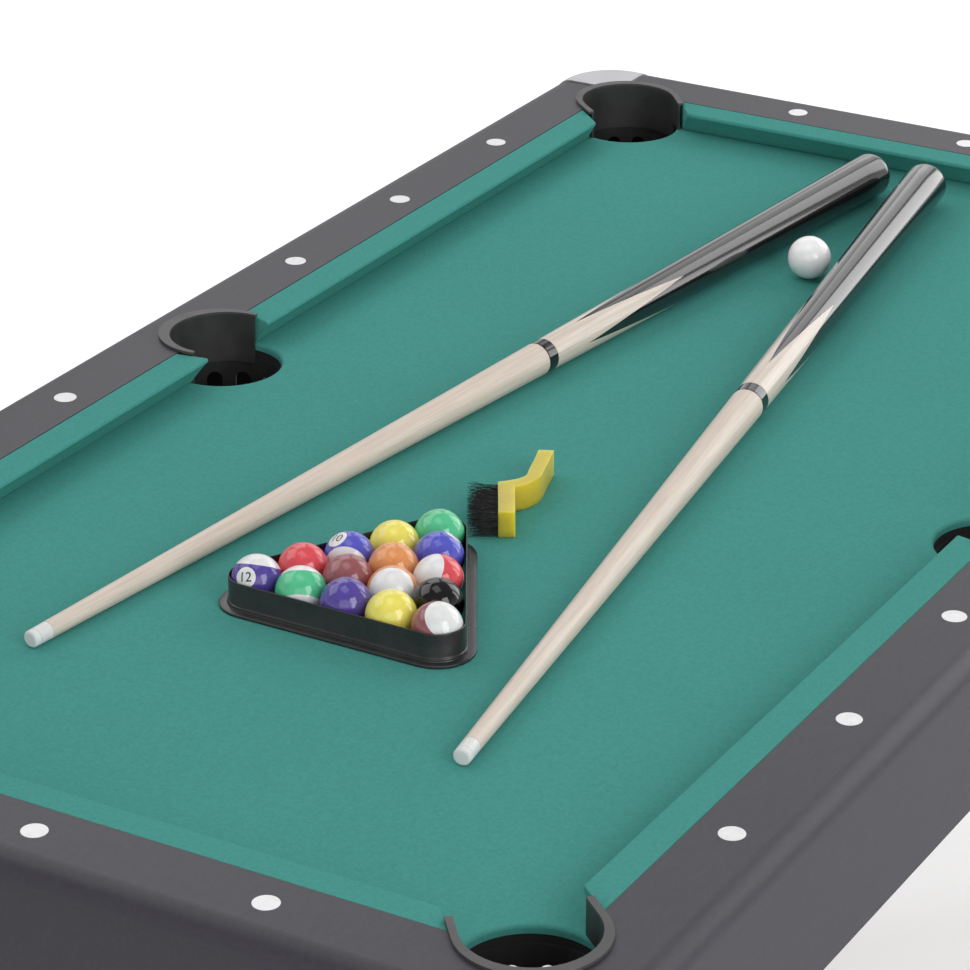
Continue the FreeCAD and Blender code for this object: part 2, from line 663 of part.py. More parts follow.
def make_leg_screws():
    y = LEG_MID_Y - LEG_W / 2.0
    screws = []
    for z in leg_screw_heights():
        for x in leg_screw_xs():
            screws.append(leg_screw(x, y, z, SCREW_R, SCREW_HEAD_R, LEG_SCREW_DEPTH - 1.0))
    under = BED_UNDER_Z - BRACKET_T
    for x in leg_screw_xs():
        hole_y = y - BRACKET_REACH / 2.0
        shaft = cylinder(SCREW_R, under, BED_UNDER_Z + BOARD_SCREW_DEPTH - 1.0, x, hole_y)
        screws.append(shaft.fuse(cylinder(SCREW_HEAD_R, under - SCREW_HEAD_T, under, x, hole_y)))
    solids = []
    for screw in screws:
        solids.extend(four(screw))
    return together(solids)


def make_leveller():
    pad = cylinder(PAD_R, 0.0, PAD_T, LEG_MID_X, LEG_MID_Y)
    rim = [edge for edge in pad.Edges if edge.BoundBox.ZMin > PAD_T - 0.01 and len(edge.Vertexes) == 1]
    pad = pad.makeFillet(PAD_EDGE, rim)
    stem = cylinder(STEM_R, PAD_T - PAD_EDGE, STEM_TOP_Z, LEG_MID_X, LEG_MID_Y)
    turns = [math.radians(60.0 * k) for k in range(6)]
    flats = [(LEG_MID_X + NUT_R * math.cos(a), LEG_MID_Y + NUT_R * math.sin(a)) for a in turns]
    nut = prism(flats, PAD_T, PAD_T + NUT_T)
    return join([pad, stem, nut])


def make_bolts():
    bolts = []
    for x, y in bolt_places():
        shaft = cylinder(BOLT_R, BED_UNDER_Z, BOLT_TOP_Z - 1.0, x, y)
        bolts.append(shaft.fuse(cylinder(BOLT_HEAD_R, BED_UNDER_Z - BOLT_HEAD_T, BED_UNDER_Z, x, y)))
    return together(bolts)


# Balls, rack, cues and brush
BALL_R = BALL_D / 2.0
TURN = math.radians(RACK_TURN)


def ball_place(i, j):
    x = RACK_FIRST[0] + i * BALL_D * math.cos(TURN)
    y = RACK_FIRST[1] + i * BALL_D * math.sin(TURN) - j * BALL_D
    return x, y


def make_ball(x, y):
    return Part.makeSphere(BALL_R - BALL_LIFT, Vector(x, y, CLOTH_Z + BALL_R))


def rounded_triangle(radius, z0, z1):
    # The three corner balls' circles of this radius, joined by their outer tangents
    last = RACK_ROWS - 1
    centres = [ball_place(0, 0), ball_place(0, last), ball_place(last, 0)]
    edges = []
    for k, (x, y) in enumerate(centres):
        x1, y1 = centres[(k + 1) % 3]
        x2, y2 = centres[(k + 2) % 3]
        out = math.atan2(y1 - y, x1 - x) - math.pi / 2.0
        into = math.atan2(y - y2, x - x2) - math.pi / 2.0
        mid = into + math.radians(60.0)
        start = Vector(x + radius * math.cos(into), y + radius * math.sin(into), z0)
        bend = Vector(x + radius * math.cos(mid), y + radius * math.sin(mid), z0)
        end = Vector(x + radius * math.cos(out), y + radius * math.sin(out), z0)
        edges.append(Part.Arc(start, bend, end).toShape())
        follow = Vector(x1 + radius * math.cos(out), y1 + radius * math.sin(out), z0)
        edges.append(Part.LineSegment(end, follow).toShape())
    return edges_wire(edges).extrude(Vector(0, 0, z1 - z0))


def rack_cells(reach, z0, z1):
    # Where the moulding is divided: short arcs round its three corners, and three straight sides
    last = RACK_ROWS - 1
    centres = [ball_place(0, 0), ball_place(0, last), ball_place(last, 0)]
    turn = math.radians(RACK_CORNER_TURN) / RACK_CORNER_CELLS
    span = reach / math.cos(turn / 2.0) * 1.1
    cells = []
    for k, (x, y) in enumerate(centres):
        x1, y1 = centres[(k + 1) % 3]
        x2, y2 = centres[(k + 2) % 3]
        into = math.atan2(y - y2, x - x2) - math.pi / 2.0
        rim = []
        for step in range(RACK_CORNER_CELLS + 1):
            angle = into + turn * step
            rim.append((x + span * math.cos(angle), y + span * math.sin(angle)))
        for first, second in zip(rim[:-1], rim[1:]):
            cells.append(prism([(x, y), first, second], z0, z1))
        across, along = rim[-1][0] - x, rim[-1][1] - y
        side = [(x, y), rim[-1], (x1 + across, y1 + along), (x1, y1)]
        cells.append(prism(side, z0, z1))
    return cells


def make_rack():
    low = CLOTH_Z + RACK_LIFT
    inside = BALL_R + RACK_FIT
    outside = inside + RACK_T
    wall = rounded_triangle(outside, low, low + RACK_H)
    foot = rounded_triangle(outside + RACK_FLANGE_W, low, low + RACK_FLANGE_T)
    step = rounded_triangle(outside + RACK_T, low, low + RACK_FLANGE_T * 2.0)
    rack = join([wall, foot, step]).cut(rounded_triangle(inside, low - 1.0, low + RACK_H + 1.0))
    cells = rack_cells(outside + RACK_FLANGE_W, low, low + RACK_H)
    return together([rack.common(cell) for cell in cells])


def cue_radius(t):
    return CUE_TIP_R + CUE_SLOPE * t


def cue_matrix(name):
    # Cue's own frame: +Z from the tip to the butt, tilted so its underside lies on the cloth
    (x, y), (ux, uy) = CUES[name]
    tilt = math.asin(CUE_SLOPE)
    along = Vector(ux * math.cos(tilt), uy * math.cos(tilt), math.sin(tilt))
    tip_x = x - ux * CUE_LENGTH * math.cos(tilt)
    tip_y = y - uy * CUE_LENGTH * math.cos(tilt)
    start = Vector(tip_x, tip_y, CLOTH_Z + CUE_LIFT + CUE_TIP_R * math.cos(tilt))
    return FreeCAD.Placement(start, FreeCAD.Rotation(Vector(0, 0, 1), along))


def turned(points):
    corners = [Vector(r, 0, z) for r, z in points]
    corners.append(corners[0])
    return Part.Face(Part.makePolygon(corners)).revolve(Vector(0, 0, 0), Vector(0, 0, 1), 360)


def round_rim(shape, radius, z):
    rim = []
    for edge in shape.Edges:
        b = edge.BoundBox
        if abs(b.ZMin - z) < 0.01 and abs(b.ZMax - z) < 0.01:
            rim.append(edge)
    return shape.makeFillet(radius, rim)


def cue_band(start, end):
    return turned([(0, start), (cue_radius(start), start), (cue_radius(end), end), (0, end)])


def make_cue(name):
    ring_start = RING_START[name]
    ring_end = ring_start + RING_WIDTH[name]
    shaft_end = ring_start - FACE_GAP
    pin_end = ring_start - PIN_REACH
    place = cue_matrix(name)
    tip = round_rim(cue_band(0.0, TIP_LENGTH), TIP_ROUND, 0.0)
    ferrule = cue_band(TIP_LENGTH, FERRULE_END)
    shaft = cue_band(FERRULE_END, shaft_end)
    shaft = shaft.cut(cylinder(PIN_R + PIN_FIT, pin_end - PIN_END_GAP, shaft_end + 1.0))
    rim = []
    for edge in shaft.Edges:
        b = edge.BoundBox
        if b.ZMin > shaft_end - 0.01 and b.XLength > cue_radius(shaft_end):
            rim.append(edge)
    shaft = shaft.makeChamfer(1.0, rim)
    collar = cue_band(ring_start, ring_end).fuse(cylinder(PIN_R, pin_end, ring_start + 1.0))
    butt = round_rim(cue_band(ring_end, CUE_LENGTH), BUTT_ROUND, CUE_LENGTH)
    pieces = {"tip": tip, "ferrule": ferrule, "shaft": shaft, "joint_collar": collar, "butt": butt}
    for part, shape in pieces.items():
        shape.Placement = place
        write(name + "_" + part, shape)


def brush_place(shape):
    shape.rotate(Vector(0, 0, 0), Vector(0, 0, 1), BRUSH_TURN - 90.0)
    shape.translate(Vector(BRUSH_AT[0], BRUSH_AT[1], CLOTH_Z + BRUSH_LIFT))
    return shape


def make_brush_handle():
    block = box(0.0, BLOCK_T, 0.0, BLOCK_L, 0.0, BRUSH_H)
    outer = Part.BSplineCurve()
    outer.interpolate([Vector(u, w, 0) for u, w in HANDLE_PATH_OUT])
    inner = Part.BSplineCurve()
    inner.interpolate([Vector(u, w, 0) for u, w in HANDLE_PATH_IN])
    end_out = Vector(*HANDLE_PATH_OUT[-1], 0)
    end_in = Vector(*HANDLE_PATH_IN[0], 0)
    neck_in = Vector(*HANDLE_PATH_IN[-1], 0)
    neck_out = Vector(*HANDLE_PATH_OUT[0], 0)
    corner = Vector(0, HANDLE_PATH_IN[-1][1], 0)
    edges = [outer.toShape(), Part.LineSegment(end_out, end_in).toShape(), inner.toShape()]
    edges.append(Part.LineSegment(neck_in, corner).toShape())
    edges.append(Part.LineSegment(corner, neck_out).toShape())
    handle = edges_wire(edges).extrude(Vector(0, 0, BRUSH_H))
    return brush_place(join([block, handle]))


def make_bristles():
    m = BRISTLE_MARGIN
    return brush_place(box(-BRISTLE_OUT, 0.0, m, BLOCK_L - m, m, BRUSH_H - m))


def main():
    os.makedirs("parts", exist_ok=True)
    write("bed_board", make_bed())
    write("bed_cloth", make_cloth())
    side_rail, end_rail = make_side_rail(), make_end_rail()
    write("rail_side_left", side_rail)
    write("rail_side_right", flip_y(side_rail))
    write("rail_end_far", end_rail)
    write("rail_end_near", flip_x(end_rail))
    side_cushion, end_cushion = make_side_cushion(), make_end_cushion()
    write("cushion_left_far", side_cushion)
    write("cushion_left_near", flip_x(side_cushion))
    write("cushion_right_far", flip_y(side_cushion))
    write("cushion_right_near", flip_x(flip_y(side_cushion)))
    write("cushion_end_far", end_cushion)
    write("cushion_end_near", flip_x(end_cushion))
    write("corner_liners", together(four(make_corner_liner())))
    side_liner = make_side_liner()
    write("side_liners", together([side_liner, flip_y(side_liner)]))
    corner_baskets = [make_basket(x, y, CORNER_OUT_R + LINER_FIT) for x, y in CORNERS]
    side_baskets = [make_basket(x, y, SIDE_OUT_R + LINER_FIT) for x, y in SIDES]
    write("corner_baskets", together(corner_baskets))
    write("side_baskets", together(side_baskets))
    write("corner_caps", together(four(make_corner_cap())))
    write("rail_sights", make_sights())
    side_panel, end_panel = make_side_panel(), make_end_panel()
    write("panel_side_left", side_panel)
    write("panel_side_right", flip_y(side_panel))
    write("panel_end_far", end_panel)
    write("panel_end_near", flip_x(end_panel))
    write("bed_frame", make_bed_frame())
    write("legs", together(four(make_leg())))
    write("leg_brackets", together(four(make_bracket())))
    write("leg_screws", make_leg_screws())
    write("rail_bolts", make_bolts())
    foot = make_leveller()
    write("leveller_far_left", foot)
    write("leveller_near_left", flip_x(foot))
    write("leveller_far_right", flip_y(foot))
    write("leveller_near_right", flip_x(flip_y(foot)))
    write("rack", make_rack())
    for (i, j), name in BALL_NODES.items():
        write(name, make_ball(*ball_place(i, j)))
    write("cue_ball", make_ball(*CUE_BALL_AT))
    for name in CUES:
        make_cue(name)
    write("brush_handle", make_brush_handle())
    write("brush_bristles", make_bristles())


main()
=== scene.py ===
"""Looks of a six-pocket pool table with its balls, rack, cues and brush."""

import math
import random

import bmesh
import bpy
from bpy.props import FloatProperty, FloatVectorProperty, IntProperty, PointerProperty
from bpy.types import Operator, Panel, PropertyGroup
from mathutils import Matrix, Vector


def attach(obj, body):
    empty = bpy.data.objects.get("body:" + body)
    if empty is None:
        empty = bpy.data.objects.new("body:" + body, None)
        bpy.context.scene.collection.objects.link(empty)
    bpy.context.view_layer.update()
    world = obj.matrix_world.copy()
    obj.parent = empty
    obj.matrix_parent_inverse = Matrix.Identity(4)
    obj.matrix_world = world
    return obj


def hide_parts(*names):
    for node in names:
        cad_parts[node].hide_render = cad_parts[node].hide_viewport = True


bl_info = {
    "name": "Pool table looks",
    "version": (1, 0, 0),
    "blender": (4, 5, 0),
    "location": "View3D > Sidebar > Pool table",
    "description": "Cloth, cushions, balls, rack, cues, brush and finishes of a pool table",
    "category": "Object",
}

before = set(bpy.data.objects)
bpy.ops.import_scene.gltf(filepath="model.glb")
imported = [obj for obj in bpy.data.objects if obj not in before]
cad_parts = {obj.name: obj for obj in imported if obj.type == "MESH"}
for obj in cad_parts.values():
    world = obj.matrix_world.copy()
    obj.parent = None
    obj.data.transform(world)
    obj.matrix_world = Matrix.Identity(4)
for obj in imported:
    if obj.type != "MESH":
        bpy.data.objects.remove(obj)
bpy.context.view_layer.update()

# Heights and places in metres, in the table's frame
CLOTH_Z = 0.7592
RAIL_Z = 0.7900
BED_HALF = (0.8938, 0.4513)
CORNER_POCKET = (0.8627, 0.4174)
SIDE_POCKET_Y = 0.4356
HOLE_R = 0.0597
LIP_R = 0.0036
LIP_LOW_Z = 0.7513
NOSE = (0.8626, 0.4176)
PANEL_INSIDE = (0.9580, 0.5155)
CAP_ROUND_AT = (0.9045, 0.4620)
CAP_INSIDE = 0.0625
CUSHION_BACK = BED_HALF
CUSHION_FOOT = 0.018
SIDE_MOUTH = (0.0556, 0.0645)
CORNER_MOUTH_X = (0.7799, 0.8089)
CORNER_MOUTH_Y = (0.3359, 0.3629)

BALL_D = 0.0477
BALL_R = 0.02375
RACK_FIRST = (-0.4508, 0.1005)
RACK_HEADING = math.radians(-30)
RACK_ROWS = 5
RACK_INSIDE = 0.02477
RACK_WALL = 0.00137
RACK_FOOT = 0.0103
RACK_LOW = 0.7594
CUE_BALL = (0.5207, 0.0096)

CUE_TIP_R = 0.0082
CUE_TAPER = 0.0121
CUE_LENGTH = 1.439
CUE_LIFT = 0.0003
BUTT_ROUND = 0.0169
FERRULE = (0.007, 0.0225)
POINTS = (0.834, 1.016)
POINTS_TURN = math.radians(2)
CUES = {
    "cue_1": {"at": (-0.627113, 0.226591), "heading": (0.993063, -0.117584), "ring": (0.7675, 0.7815)},
    "cue_2": {"at": (-0.620896, -0.214418), "heading": (0.989576, 0.144012), "ring": (0.7668, 0.7838)},
}

BRUSH_AT = (-0.2229, -0.02205)
BRUSH_TURN = math.radians(-60)
BRUSH_Z = 0.7594
BRUSH_H = 0.027
BRUSH_WIDE = 0.0674
BRISTLE_OUT = 0.0280
BRISTLE_SPREAD = (-0.0110, 0.0028)
BRISTLE_THICK = 0.00026
BRISTLE_EDGE = 0.0012

# A ball's stripe axis, its number's side and its number's upward way where the number faces down and away
TURNED_AWAY = ((0.17, -0.01, 0.98), (0.58, 0.19, -0.79), (0.38, 0.24, 0.9))

# Row, place in the row and number, then the three ways of TURNED_AWAY
BALLS = [
    (0, 0, 12, (0.522, 0.147, 0.840), (-0.875, -0.057, 0.481), (0.38, 0.24, 0.9)),
    (1, 0, 3, *TURNED_AWAY),
    (2, 0, 10, (-0.929, -0.354, -0.109), (-0.355, 0.340, 0.871), (0.77, 0.04, 0.63)),
    (3, 0, 1, *TURNED_AWAY),
    (4, 0, 6, *TURNED_AWAY),
    (0, 1, 14, (0.677, 0.363, 0.641), (0.66, 0.18, -0.73), (0.38, 0.24, 0.9)),
    (1, 1, 7, *TURNED_AWAY),
    (2, 1, 5, *TURNED_AWAY),
    (3, 1, 2, (-0.78, -0.62, 0.14), (0.595, -0.333, 0.732), (-0.42, -0.67, 0.61)),
    (0, 2, 4, *TURNED_AWAY),
    (1, 2, 13, (-0.751, -0.392, 0.531), (-0.22, -0.49, -0.84), (-0.76, -0.48, 0.44)),
    (2, 2, 11, (-0.635, 0.474, 0.610), (-0.15, 0.45, -0.88), (0.38, 0.24, 0.9)),
    (0, 3, 9, (0.6, 0.26, 0.75), (0.72, 0.22, -0.66), (0.38, 0.24, 0.9)),
    (1, 3, 8, *TURNED_AWAY),
    (0, 4, 15, (-0.229, -0.623, 0.748), (-0.49, -0.42, -0.76), (0.38, 0.24, 0.9)),
]
STRIPE_HALF = {9: 0.9, 10: 0.58, 11: 0.50, 12: 0.48, 14: 0.51, 15: 0.61}
BALL_TINTS = {
    1: (0.83, 0.74, 0.145), 2: (0.10, 0.105, 0.54), 3: (0.70, 0.085, 0.105), 4: (0.10, 0.065, 0.335),
    5: (0.74, 0.32, 0.12), 6: (0.10, 0.545, 0.285), 7: (0.31, 0.105, 0.115), 8: (0.0025, 0.0025, 0.0025),
}

IVORY = (0.75, 0.75, 0.75)
# Near black, painted as shade on inward faces that little light reaches
SHADE_BLACK = (0.006, 0.006, 0.006)
NUMBER_HEIGHT = 0.0130
NUMBER_PROUD = 0.00004
CUE_BALL_TINT = (0.88, 0.87, 0.87)

# Strength of the white surroundings at the horizon and from 30 degrees up
HORIZON = 0.85
ZENITH = 0.30

# The floor: half its side, and the fill that grows with distance from the table's middle
FLOOR_HALF = 30.0
FLOOR_FILL = (0.24, 0.62)
FLOOR_FILL_REACH = (2.2, 7.0)

# Soft lights: name, azimuth, elevation, width, height (degrees), radiance and distance
LIGHT_AIM = (0.1, 0.0, 0.78)
SOFTBOXES = (
    ("far_right_pane", -17.0, 22.0, 26.0, 40.0, 2.5, 4.5),
    ("far_right_strip", -45.0, 20.0, 12.0, 32.0, 2.8, 4.5),
    ("far_pane", 13.0, 28.0, 20.0, 26.0, 1.0, 4.5),
    ("far_low_pane", 30.0, 12.0, 40.0, 18.0, 0.33, 2.3),
    ("far_left_pane", 46.0, 40.0, 26.0, 30.0, 1.5, 4.5),
    ("left_pane", 100.0, 42.0, 46.0, 34.0, 1.6, 4.5),
    ("right_pane", -115.0, 22.0, 26.0, 40.0, 4.1, 4.5),
    ("near_pane", -155.0, 22.0, 44.0, 30.0, 1.2, 4.5),
    ("overhead_pane", 150.0, 82.0, 34.0, 24.0, 1.2, 4.5),
)

LENS = 140.36
CAMERA_AT = (-3.01496, -1.61961, 2.31447)
CAMERA_TURN = (65.0, 0.0, -60.0)


class ColourSettings(PropertyGroup):
    cloth: FloatVectorProperty(name="Cloth", description="Colour of the bed and cushion cloth",
                               subtype="COLOR", size=3, min=0, max=1, default=(0.0655, 0.283, 0.251))
    laminate: FloatVectorProperty(name="Laminate", description="Colour of the rails, panels and legs",
                                  subtype="COLOR", size=3, min=0, max=1, default=(0.034, 0.0315, 0.042))
    casting: FloatVectorProperty(name="Castings", description="Colour of the four corner castings",
                                 subtype="COLOR", size=3, min=0, max=1, default=(0.57, 0.57, 0.585))
    maple: FloatVectorProperty(name="Maple", description="Colour of the cues' shafts",
                               subtype="COLOR", size=3, min=0, max=1, default=(0.640, 0.546, 0.468))
    lacquer: FloatVectorProperty(name="Butt lacquer", description="Colour of the cues' butts",
                                 subtype="COLOR", size=3, min=0, max=1, default=(0.008, 0.008, 0.009))
    brush: FloatVectorProperty(name="Brush", description="Colour of the brush's handle",
                               subtype="COLOR", size=3, min=0, max=1, default=(0.57, 0.455, 0.040))
    moulding: FloatVectorProperty(name="Mouldings", description="Colour of the liners, baskets and rack",
                                  subtype="COLOR", size=3, min=0, max=1, default=(0.030, 0.030, 0.0305))


class SizeSettings(PropertyGroup):
    cushion_round: FloatProperty(name="Nose radius", description="Rounding of the cushions' noses",
                                 subtype="DISTANCE", unit="LENGTH", default=0.0018, min=0.0005, max=0.004)
    ball_rings: IntProperty(name="Ball rings", description="Rings of faces from pole to pole of a ball",
                            default=40, min=16, max=96)
    cue_sides: IntProperty(name="Cue sides", description="Faces round a cue", default=72, min=24, max=160)
    bristles: IntProperty(name="Bristles", description="Bristles in the brush",
                          default=1150, min=200, max=6000)
    disc_angle: FloatProperty(name="Number disc", description="Half angle of the white disc on a ball",
                              subtype="ANGLE", unit="ROTATION", default=math.radians(24), min=0.2, max=0.8)
    stripe: FloatProperty(name="Stripe", description="Half width of the stripe as a share of the radius",
                          subtype="FACTOR", default=0.52, min=0.3, max=0.8)


def colours():
    return bpy.context.scene.pool_table_colours


def sizes():
    return bpy.context.scene.pool_table_sizes


# Material building
def wire(tree, source, target):
    tree.links.new(source, target)


def object_place(tree):
    return tree.nodes.new("ShaderNodeTexCoord").outputs["Object"]


def split(tree, place):
    """The X, Y and Z parts of a place."""
    node = tree.nodes.new("ShaderNodeSeparateXYZ")
    wire(tree, place, node.inputs[0])
    return node.outputs


def math_node(tree, operation, first, second=None, third=None):
    node = tree.nodes.new("ShaderNodeMath")
    node.operation = operation
    for place, value in enumerate((first, second, third)):
        if value is None:
            continue
        if isinstance(value, (int, float)):
            node.inputs[place].default_value = value
        else:
            tree.links.new(value, node.inputs[place])
    return node.outputs[0]


def mix_colour(tree, factor, first, second):
    node = tree.nodes.new("ShaderNodeMix")
    node.data_type = "RGBA"
    for socket, value in ((node.inputs[0], factor), (node.inputs[6], first), (node.inputs[7], second)):
        if isinstance(value, (int, float)):
            socket.default_value = value
        elif isinstance(value, tuple):
            socket.default_value = value if len(value) == 4 else (*value, 1.0)
        else:
            tree.links.new(value, socket)
    return node.outputs[2]


def noise(tree, place, scale, detail=3.0, roughness=0.55, stretch=None):
    if stretch:
        mapping = tree.nodes.new("ShaderNodeMapping")
        mapping.inputs["Scale"].default_value = stretch
        wire(tree, place, mapping.inputs["Vector"])
        place = mapping.outputs[0]
    node = tree.nodes.new("ShaderNodeTexNoise")
    node.inputs["Scale"].default_value = scale
    node.inputs["Detail"].default_value = detail
    node.inputs["Roughness"].default_value = roughness
    wire(tree, place, node.inputs["Vector"])
    return node.outputs["Fac"]


def spread(tree, value, low, high, start=0.0, end=1.0):
    node = tree.nodes.new("ShaderNodeMapRange")
    node.inputs["From Min"].default_value = start
    node.inputs["From Max"].default_value = end
    node.inputs["To Min"].default_value = low
    node.inputs["To Max"].default_value = high
    wire(tree, value, node.inputs["Value"])
    return node.outputs[0]


def bump(tree, height, strength, distance, shader):
    node = tree.nodes.new("ShaderNodeBump")
    node.inputs["Strength"].default_value = strength
    node.inputs["Distance"].default_value = distance
    wire(tree, height, node.inputs["Height"])
    wire(tree, node.outputs[0], shader.inputs["Normal"])


def start_material(name, colour, roughness, **sockets):
    material = bpy.data.materials.new(name)
    material.use_nodes = True
    tree = material.node_tree
    shader = tree.nodes["Principled BSDF"]
    shader.inputs["Base Color"].default_value = (*colour, 1.0)
    shader.inputs["Roughness"].default_value = roughness
    for key, value in sockets.items():
        shader.inputs[key.replace("_", " ")].default_value = value
    return material, tree, shader, object_place(tree)


def shade(colour, factor):
    return tuple(min(1.0, part * factor) for part in colour)


def tone(tree, value, colour, dark, pale, start=0.3, end=0.7):
    """A colour that a pattern carries between two strengths."""
    share = spread(tree, value, 0.0, 1.0, start, end)
    return mix_colour(tree, share, shade(colour, dark), shade(colour, pale))


def paint(tree, shader, source):
    wire(tree, source, shader.inputs["Base Color"])


def sheen(tree, shader, value, low, high):
    """Lets a pattern carry the roughness."""
    wire(tree, spread(tree, value, low, high, 0.3, 0.7), shader.inputs["Roughness"])


def overpaint(tree, shader, share, colour):
    """Covers a share of the finish with another colour."""
    under = shader.inputs["Base Color"].links[0].from_socket
    paint(tree, shader, mix_colour(tree, share, under, colour))


def leave_raw(tree, shader, share):
    """Paints a share of the surface near black and dull, as painted shade."""
    overpaint(tree, shader, share, SHADE_BLACK)
    wire(tree, math_node(tree, "MULTIPLY_ADD", share, -0.5, 0.5), shader.inputs["Specular IOR Level"])


def cloth_material():
    colour = tuple(colours().cloth)
    material, tree, shader, place = start_material("felt", colour, 0.95, Specular_IOR_Level=0.05)
    nap = noise(tree, place, 900.0, 2.0, 0.6)
    mottle = noise(tree, place, 260.0, 3.0, 0.6)
    broad = noise(tree, place, 5.0, 2.0, 0.5)
    pile = math_node(tree, "MULTIPLY_ADD", mottle, 0.5, math_node(tree, "MULTIPLY", nap, 0.5))
    light = tone(tree, pile, colour, 0.78, 1.22)
    faded = tone(tree, broad, colour, 0.97, 1.03, 0.35, 0.65)
    paint(tree, shader, mix_colour(tree, 0.4, light, faded))
    height = math_node(tree, "MULTIPLY_ADD", nap, 0.6, math_node(tree, "MULTIPLY", mottle, 0.8))
    bump(tree, height, 0.35, 0.0005, shader)
    return material


def laminate_material():
    colour = tuple(colours().laminate)
    material, tree, shader, place = start_material("laminate", colour, 0.45, Specular_IOR_Level=0.5)
    grain = noise(tree, place, 240.0, 4.0, 0.6, (0.35, 1.0, 1.0))
    speck = noise(tree, place, 900.0, 2.0, 0.5)
    paint(tree, shader, tone(tree, grain, colour, 0.90, 1.10, 0.35, 0.65))
    sheen(tree, shader, speck, 0.40, 0.52)
    bump(tree, math_node(tree, "MULTIPLY_ADD", grain, 0.6, speck), 0.18, 0.0003, shader)
    return material


def panel_material():
    """Laminate outside; the sides turned to the bed's frame are painted near black as shade."""
    material = laminate_material()
    material.name = "panel_laminate"
    tree = material.node_tree
    shader = tree.nodes["Principled BSDF"]
    parts = split(tree, object_place(tree))
    within = [math_node(tree, "LESS_THAN", math_node(tree, "ABSOLUTE", parts[axis]), PANEL_INSIDE[axis])
              for axis in (0, 1)]
    # painted shade: the inward sides are darkened to near black and dull
    leave_raw(tree, shader, math_node(tree, "MULTIPLY", *within))
    return material


def casting_material():
    """Bright outside; the hollow behind, below the bed, is painted near black and dull as shade."""
    colour = tuple(colours().casting)
    material, tree, shader, place = start_material("casting", colour, 0.38, Metallic=0.85)
    fine = noise(tree, place, 1200.0, 2.0, 0.5)
    cloud = noise(tree, place, 30.0, 3.0, 0.5)
    paint(tree, shader, tone(tree, cloud, colour, 0.95, 1.04))
    sheen(tree, shader, fine, 0.32, 0.46)
    bump(tree, fine, 0.08, 0.0002, shader)
    parts = split(tree, place)
    outward = []
    for axis, middle in enumerate(CAP_ROUND_AT):
        past = math_node(tree, "SUBTRACT", math_node(tree, "ABSOLUTE", parts[axis]), middle)
        past = math_node(tree, "MAXIMUM", past, 0.0)
        outward.append(math_node(tree, "MULTIPLY", past, past))
    reach = math_node(tree, "SQRT", math_node(tree, "ADD", *outward))
    inner = math_node(tree, "LESS_THAN", reach, CAP_INSIDE)
    low = math_node(tree, "LESS_THAN", parts[2], CLOTH_Z - 0.0005)
    shaded_hollow = math_node(tree, "MULTIPLY", inner, low)
    # painted shade: the hollow inside is darkened to near black and loses its metal sheen
    leave_raw(tree, shader, shaded_hollow)
    wire(tree, math_node(tree, "MULTIPLY_ADD", shaded_hollow, -0.85, 0.85), shader.inputs["Metallic"])
    return material


def moulding_material(name, roughness, grain_scale, factor=1.0):
    colour = shade(tuple(colours().moulding), factor)
    material, tree, shader, place = start_material(name, colour, roughness)
    grain = noise(tree, place, grain_scale, 3.0, 0.6)
    wear = noise(tree, place, 45.0, 3.0, 0.55)
    paint(tree, shader, tone(tree, wear, colour, 0.9, 1.2))
    sheen(tree, shader, wear, roughness - 0.05, roughness + 0.07)
    bump(tree, grain, 0.12, 0.0002, shader)
    return material


def liner_material():
    """Moulded wall; the lip that rests on the rails is painted paler as a reflection of the light above."""
    material = moulding_material("liner", 0.42, 900.0)
    tree = material.node_tree
    shader = tree.nodes["Principled BSDF"]
    lit_lip = math_node(tree, "GREATER_THAN", split(tree, object_place(tree))[2], RAIL_Z + 0.0008)
    # painted reflection: the upward lip is made paler
    overpaint(tree, shader, lit_lip, (0.062, 0.058, 0.060))
    return material


def sight_material():
    material, tree, shader, place = start_material("sight", (0.80, 0.80, 0.81), 0.25)
    cloud = noise(tree, place, 120.0, 3.0, 0.5)
    paint(tree, shader, mix_colour(tree, spread(tree, cloud, 0.0, 1.0, 0.3, 0.7), (0.76, 0.76, 0.77),
                                   (0.83, 0.83, 0.84)))
    bump(tree, cloud, 0.05, 0.0002, shader)
    return material


def timber_material(name, colour, scale, roughness):
    material, tree, shader, place = start_material(name, colour, roughness)
    grain = noise(tree, place, scale, 5.0, 0.6, (0.08, 1.0, 1.0))
    paint(tree, shader, tone(tree, grain, colour, 0.78, 1.12))
    bump(tree, grain, 0.2, 0.0004, shader)
    return material


def board_material():
    """Fibreboard; the bores of the six pockets are darkened to near black as painted shade of the pockets."""
    material = timber_material("fibreboard", (0.17, 0.12, 0.08), 300.0, 0.85)
    tree = material.node_tree
    shader = tree.nodes["Principled BSDF"]
    folded = tree.nodes.new("ShaderNodeVectorMath")
    folded.operation = "ABSOLUTE"
    wire(tree, object_place(tree), folded.inputs[0])
    parts = split(tree, folded.outputs[0])
    shaded_bores = []
    for x, y in (CORNER_POCKET, (0.0, SIDE_POCKET_Y)):
        run = math_node(tree, "SUBTRACT", parts[0], x)
        rise = math_node(tree, "SUBTRACT", parts[1], y)
        reach = math_node(tree, "ADD", math_node(tree, "MULTIPLY", run, run),
                          math_node(tree, "MULTIPLY", rise, rise))
        shaded_bores.append(math_node(tree, "LESS_THAN", reach, (HOLE_R + 0.0025) ** 2))
    # painted shade: the pocket bores are darkened to near black
    overpaint(tree, shader, math_node(tree, "MAXIMUM", *shaded_bores), (0.012, 0.012, 0.012))
    return material


def steel_material():
    material, tree, shader, place = start_material("zinc", (0.56, 0.56, 0.57), 0.35, Metallic=1.0)
    fine = noise(tree, place, 500.0, 3.0, 0.6)
    sheen(tree, shader, fine, 0.28, 0.45)
    bump(tree, fine, 0.1, 0.0002, shader)
    return material


